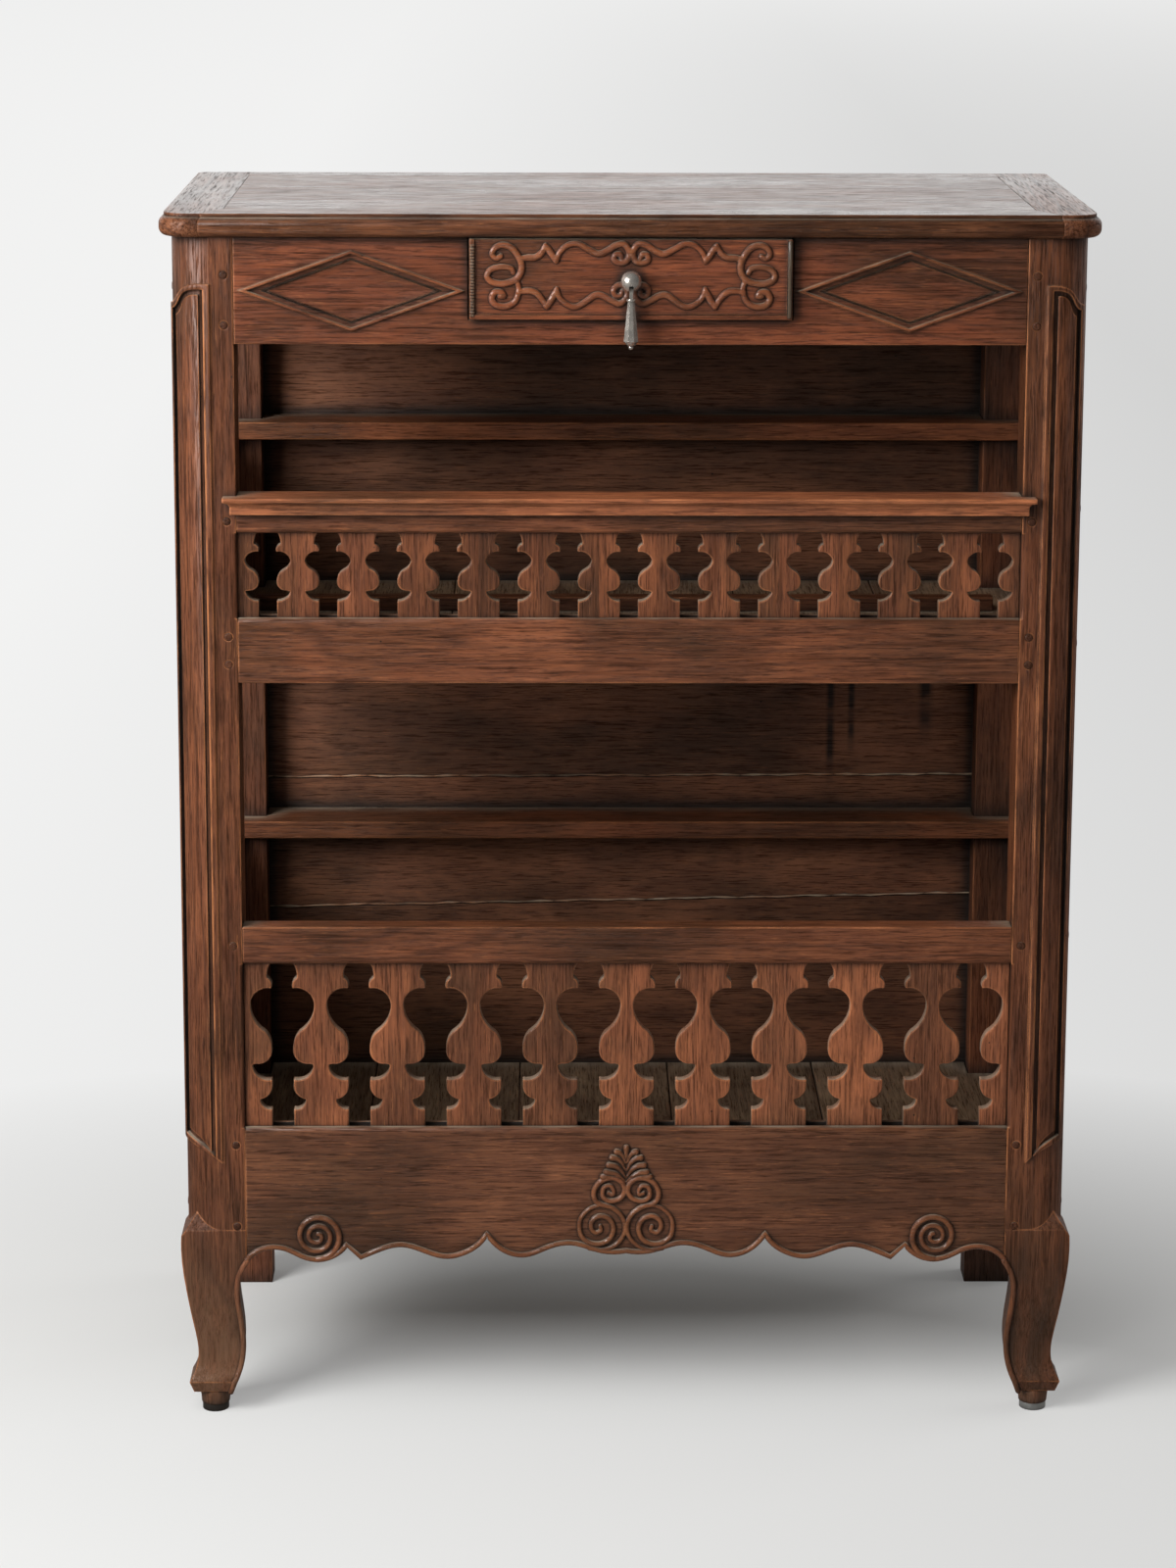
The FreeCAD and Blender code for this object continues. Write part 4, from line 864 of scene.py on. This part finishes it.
class DRESSER_OT_studio(bpy.types.Operator):
    """Set up the pale floor, the soft lights, the background and the camera"""

    bl_idname = "dresser.studio"
    bl_label = "Studio"

    # Each lamp's place, side in metres, power in watts, and whether the wax mirrors it
    lamps = {
        "key": ((-2.2, -1.85, 2.1), 1.5, 106.0, True),
        "fill": ((2.6, -3.8, 1.6), 2.4, 3.0, False),
        "side": ((3.2, 0.6, 1.7), 2.0, 30.0, False),
        "overhead": ((-1.2, -1.6, 3.6), 2.2, 52.0, False),
    }
    lamp_target = (0.0, 0.0, 0.75)
    white = (1.0, 1.0, 0.995)
    floor_half = 60.0  # Half a side of the floor
    floor_cells = 8
    floor_oval = (0.8, 1.25, 1.0)  # Stretches distances on the floor, so that its shading is oval
    mirrored_floor = (0.14, 0.135, 0.13)  # What the wax mirrors of the floor
    floor_painted_falloff = (0.89, 0.64)  # Painted light: brightness of the floor's glow, falling off from the left to the right
    floor_sides = (-1.4, 2.0)  # Places on the left and the right with that brightness
    shadow_reach = (0.30, 1.45)  # Oval distances where the shadow starts to fade and is gone
    front_reach = (0.1, -0.3)  # Depths between which the shadow also fades to the front
    front_share = 0.55  # How much of it fades there
    horizon_reach = (3.0, 58.0)  # Oval distances over which the floor takes on the background
    ambient = 0.24  # Light from all round
    mirrored_sky = (0.08, 1.45)  # What the wax mirrors of the light in front and behind
    sky_rise = (0.35, 0.85)  # Directions between which the one goes over to the other
    sensor_width = 36.0
    view_reach = 200.0

    def execute(self, context):
        scene = context.scene
        studio = scene.dresser_studio
        scene.view_settings.view_transform = "Standard"
        self.floor(studio)
        self.background(scene, studio)
        for name, settings in self.lamps.items():
            self.lamp(scene, name, *settings)
        camera = bpy.data.objects.new("camera", bpy.data.cameras.new("camera"))
        camera.location = studio.camera_place
        camera.rotation_euler = studio.camera_turn
        camera.data.lens = studio.lens
        camera.data.sensor_width = self.sensor_width
        camera.data.shift_y = studio.lens_rise
        camera.data.clip_end = self.view_reach
        scene.collection.objects.link(camera)
        scene.camera = camera
        return {"FINISHED"}

    def floor(self, studio):
        """A wide pale floor that takes the shadow and fades into the background."""
        mesh = bpy.data.meshes.new("floor")
        shape = bmesh.new()
        cells = self.floor_cells
        bmesh.ops.create_grid(shape, x_segments=cells, y_segments=cells, size=self.floor_half)
        shape.to_mesh(mesh)
        shape.free()
        mesh.materials.append(self.floor_material(studio))
        piece = bpy.data.objects.new("floor", mesh)
        bpy.context.collection.objects.link(piece)

    def floor_material(self, studio):
        """A matt floor near the dresser whose shadow is lifted by a painted glow falling off from left to
        right, going over to an even glow farther out.
        """
        made, tree, shader = new_material("pale_floor")
        shader.inputs["Base Color"].default_value = rgba(studio.floor_colour)
        shader.inputs["Roughness"].default_value = 0.9
        shader.inputs["Specular IOR Level"].default_value = 0.1
        light = node(tree, "ShaderNodeLightPath").outputs
        place = node(tree, "ShaderNodeTexCoord").outputs["Object"]
        oval = node(tree, "ShaderNodeVectorMath", {0: place, 1: self.floor_oval}, operation="MULTIPLY")
        reach = node(tree, "ShaderNodeVectorMath", {0: oval.outputs[0]}, operation="LENGTH")
        distance = reach.outputs["Value"]
        in_front = fade(tree, part_of(tree, place, Y), *self.front_reach, 0.0, self.front_share)
        clear = calc(tree, "MAXIMUM", fade(tree, distance, *self.shadow_reach), in_front)
        glowing = times(tree, clear, light["Is Camera Ray"])
        # Painted light: the glow falls off from left to right, as the lamps' light does
        near = fade(tree, part_of(tree, place, X), *self.floor_sides, *self.floor_painted_falloff)
        horizon = fade(tree, distance, *self.horizon_reach, kind="SMOOTHSTEP")
        strength = plus(tree, near, times(tree, calc(tree, "SUBTRACT", studio.background, near), horizon))
        glow = node(tree, "ShaderNodeEmission", {"Color": rgba(self.white), "Strength": strength})
        dim = node(tree, "ShaderNodeEmission", {"Color": rgba(self.mirrored_floor)})
        mix = node(tree, "ShaderNodeMixShader", {0: glowing, 1: shader.outputs[0], 2: glow.outputs[0]})
        mirrored = {0: light["Is Glossy Ray"], 1: mix.outputs[0], 2: dim.outputs[0]}
        mix = node(tree, "ShaderNodeMixShader", mirrored)
        tree.links.new(mix.outputs[0], tree.nodes["Material Output"].inputs["Surface"])
        return made

    def background(self, scene, studio):
        """Soft light all round, with a pale background for the camera and for reflections."""
        world = bpy.data.worlds.new("studio")
        scene.world = world
        world.use_nodes = True
        tree = world.node_tree
        light = node(tree, "ShaderNodeLightPath").outputs
        camera_ray, glossy_ray = light["Is Camera Ray"], light["Is Glossy Ray"]
        behind = part_of(tree, node(tree, "ShaderNodeTexCoord").outputs["Generated"], Y)
        sheen = times(tree, fade(tree, behind, *self.sky_rise, *self.mirrored_sky), glossy_ray)
        seen = times(tree, camera_ray, studio.background)
        other_ray = calc(tree, "SUBTRACT", 1.0, plus(tree, camera_ray, glossy_ray))
        strength = plus(tree, sheen, seen, times(tree, other_ray, self.ambient))
        sky = tree.nodes["Background"]
        sky.inputs["Color"].default_value = rgba(self.white)
        tree.links.new(strength, sky.inputs["Strength"])

    def lamp(self, scene, name, place, size, power, mirrored):
        """A soft square lamp that faces the dresser."""
        data = bpy.data.lights.new(name, "AREA")
        data.size = size
        data.energy = power
        lamp = bpy.data.objects.new(name, data)
        lamp.location = place
        aim = Vector(self.lamp_target) - Vector(place)
        lamp.rotation_euler = aim.to_track_quat("-Z", "Y").to_euler()
        lamp.visible_glossy = mirrored
        scene.collection.objects.link(lamp)


class DRESSER_PT_panel(bpy.types.Panel):
    """The dresser's operators and settings"""

    bl_idname = "DRESSER_PT_panel"
    bl_label = "Kitchen Dresser"
    bl_space_type = "VIEW_3D"
    bl_region_type = "UI"
    bl_category = "Dresser"

    def draw(self, context):
        layout = self.layout
        for kind in OPERATORS:
            layout.operator(kind.bl_idname)
        scene = context.scene
        for group in (scene.dresser_finish, scene.dresser_carving, scene.dresser_studio):
            box = layout.box()
            for name in group.bl_rna.properties.keys():
                if name not in ("rna_type", "name"):
                    box.prop(group, name)


GROUPS = {"dresser_finish": DresserFinish, "dresser_carving": DresserCarving, "dresser_studio": DresserStudio}
OPERATORS = (DRESSER_OT_timber, DRESSER_OT_apron, DRESSER_OT_palmette, DRESSER_OT_strapwork, DRESSER_OT_seams,
             DRESSER_OT_studio)


def register():
    for name, group in GROUPS.items():
        bpy.utils.register_class(group)
        setattr(bpy.types.Scene, name, PointerProperty(type=group))
    for kind in OPERATORS + (DRESSER_PT_panel,):
        bpy.utils.register_class(kind)


def unregister():
    for kind in (DRESSER_PT_panel,) + OPERATORS[::-1]:
        bpy.utils.unregister_class(kind)
    for name, group in GROUPS.items():
        delattr(bpy.types.Scene, name)
        bpy.utils.unregister_class(group)


def main():
    register()
    bpy.ops.dresser.timber()
    bpy.ops.dresser.apron()
    bpy.ops.dresser.palmette()
    bpy.ops.dresser.strapwork()
    bpy.ops.dresser.seams()
    bpy.ops.dresser.studio()


if __name__ == "__main__":
    main()
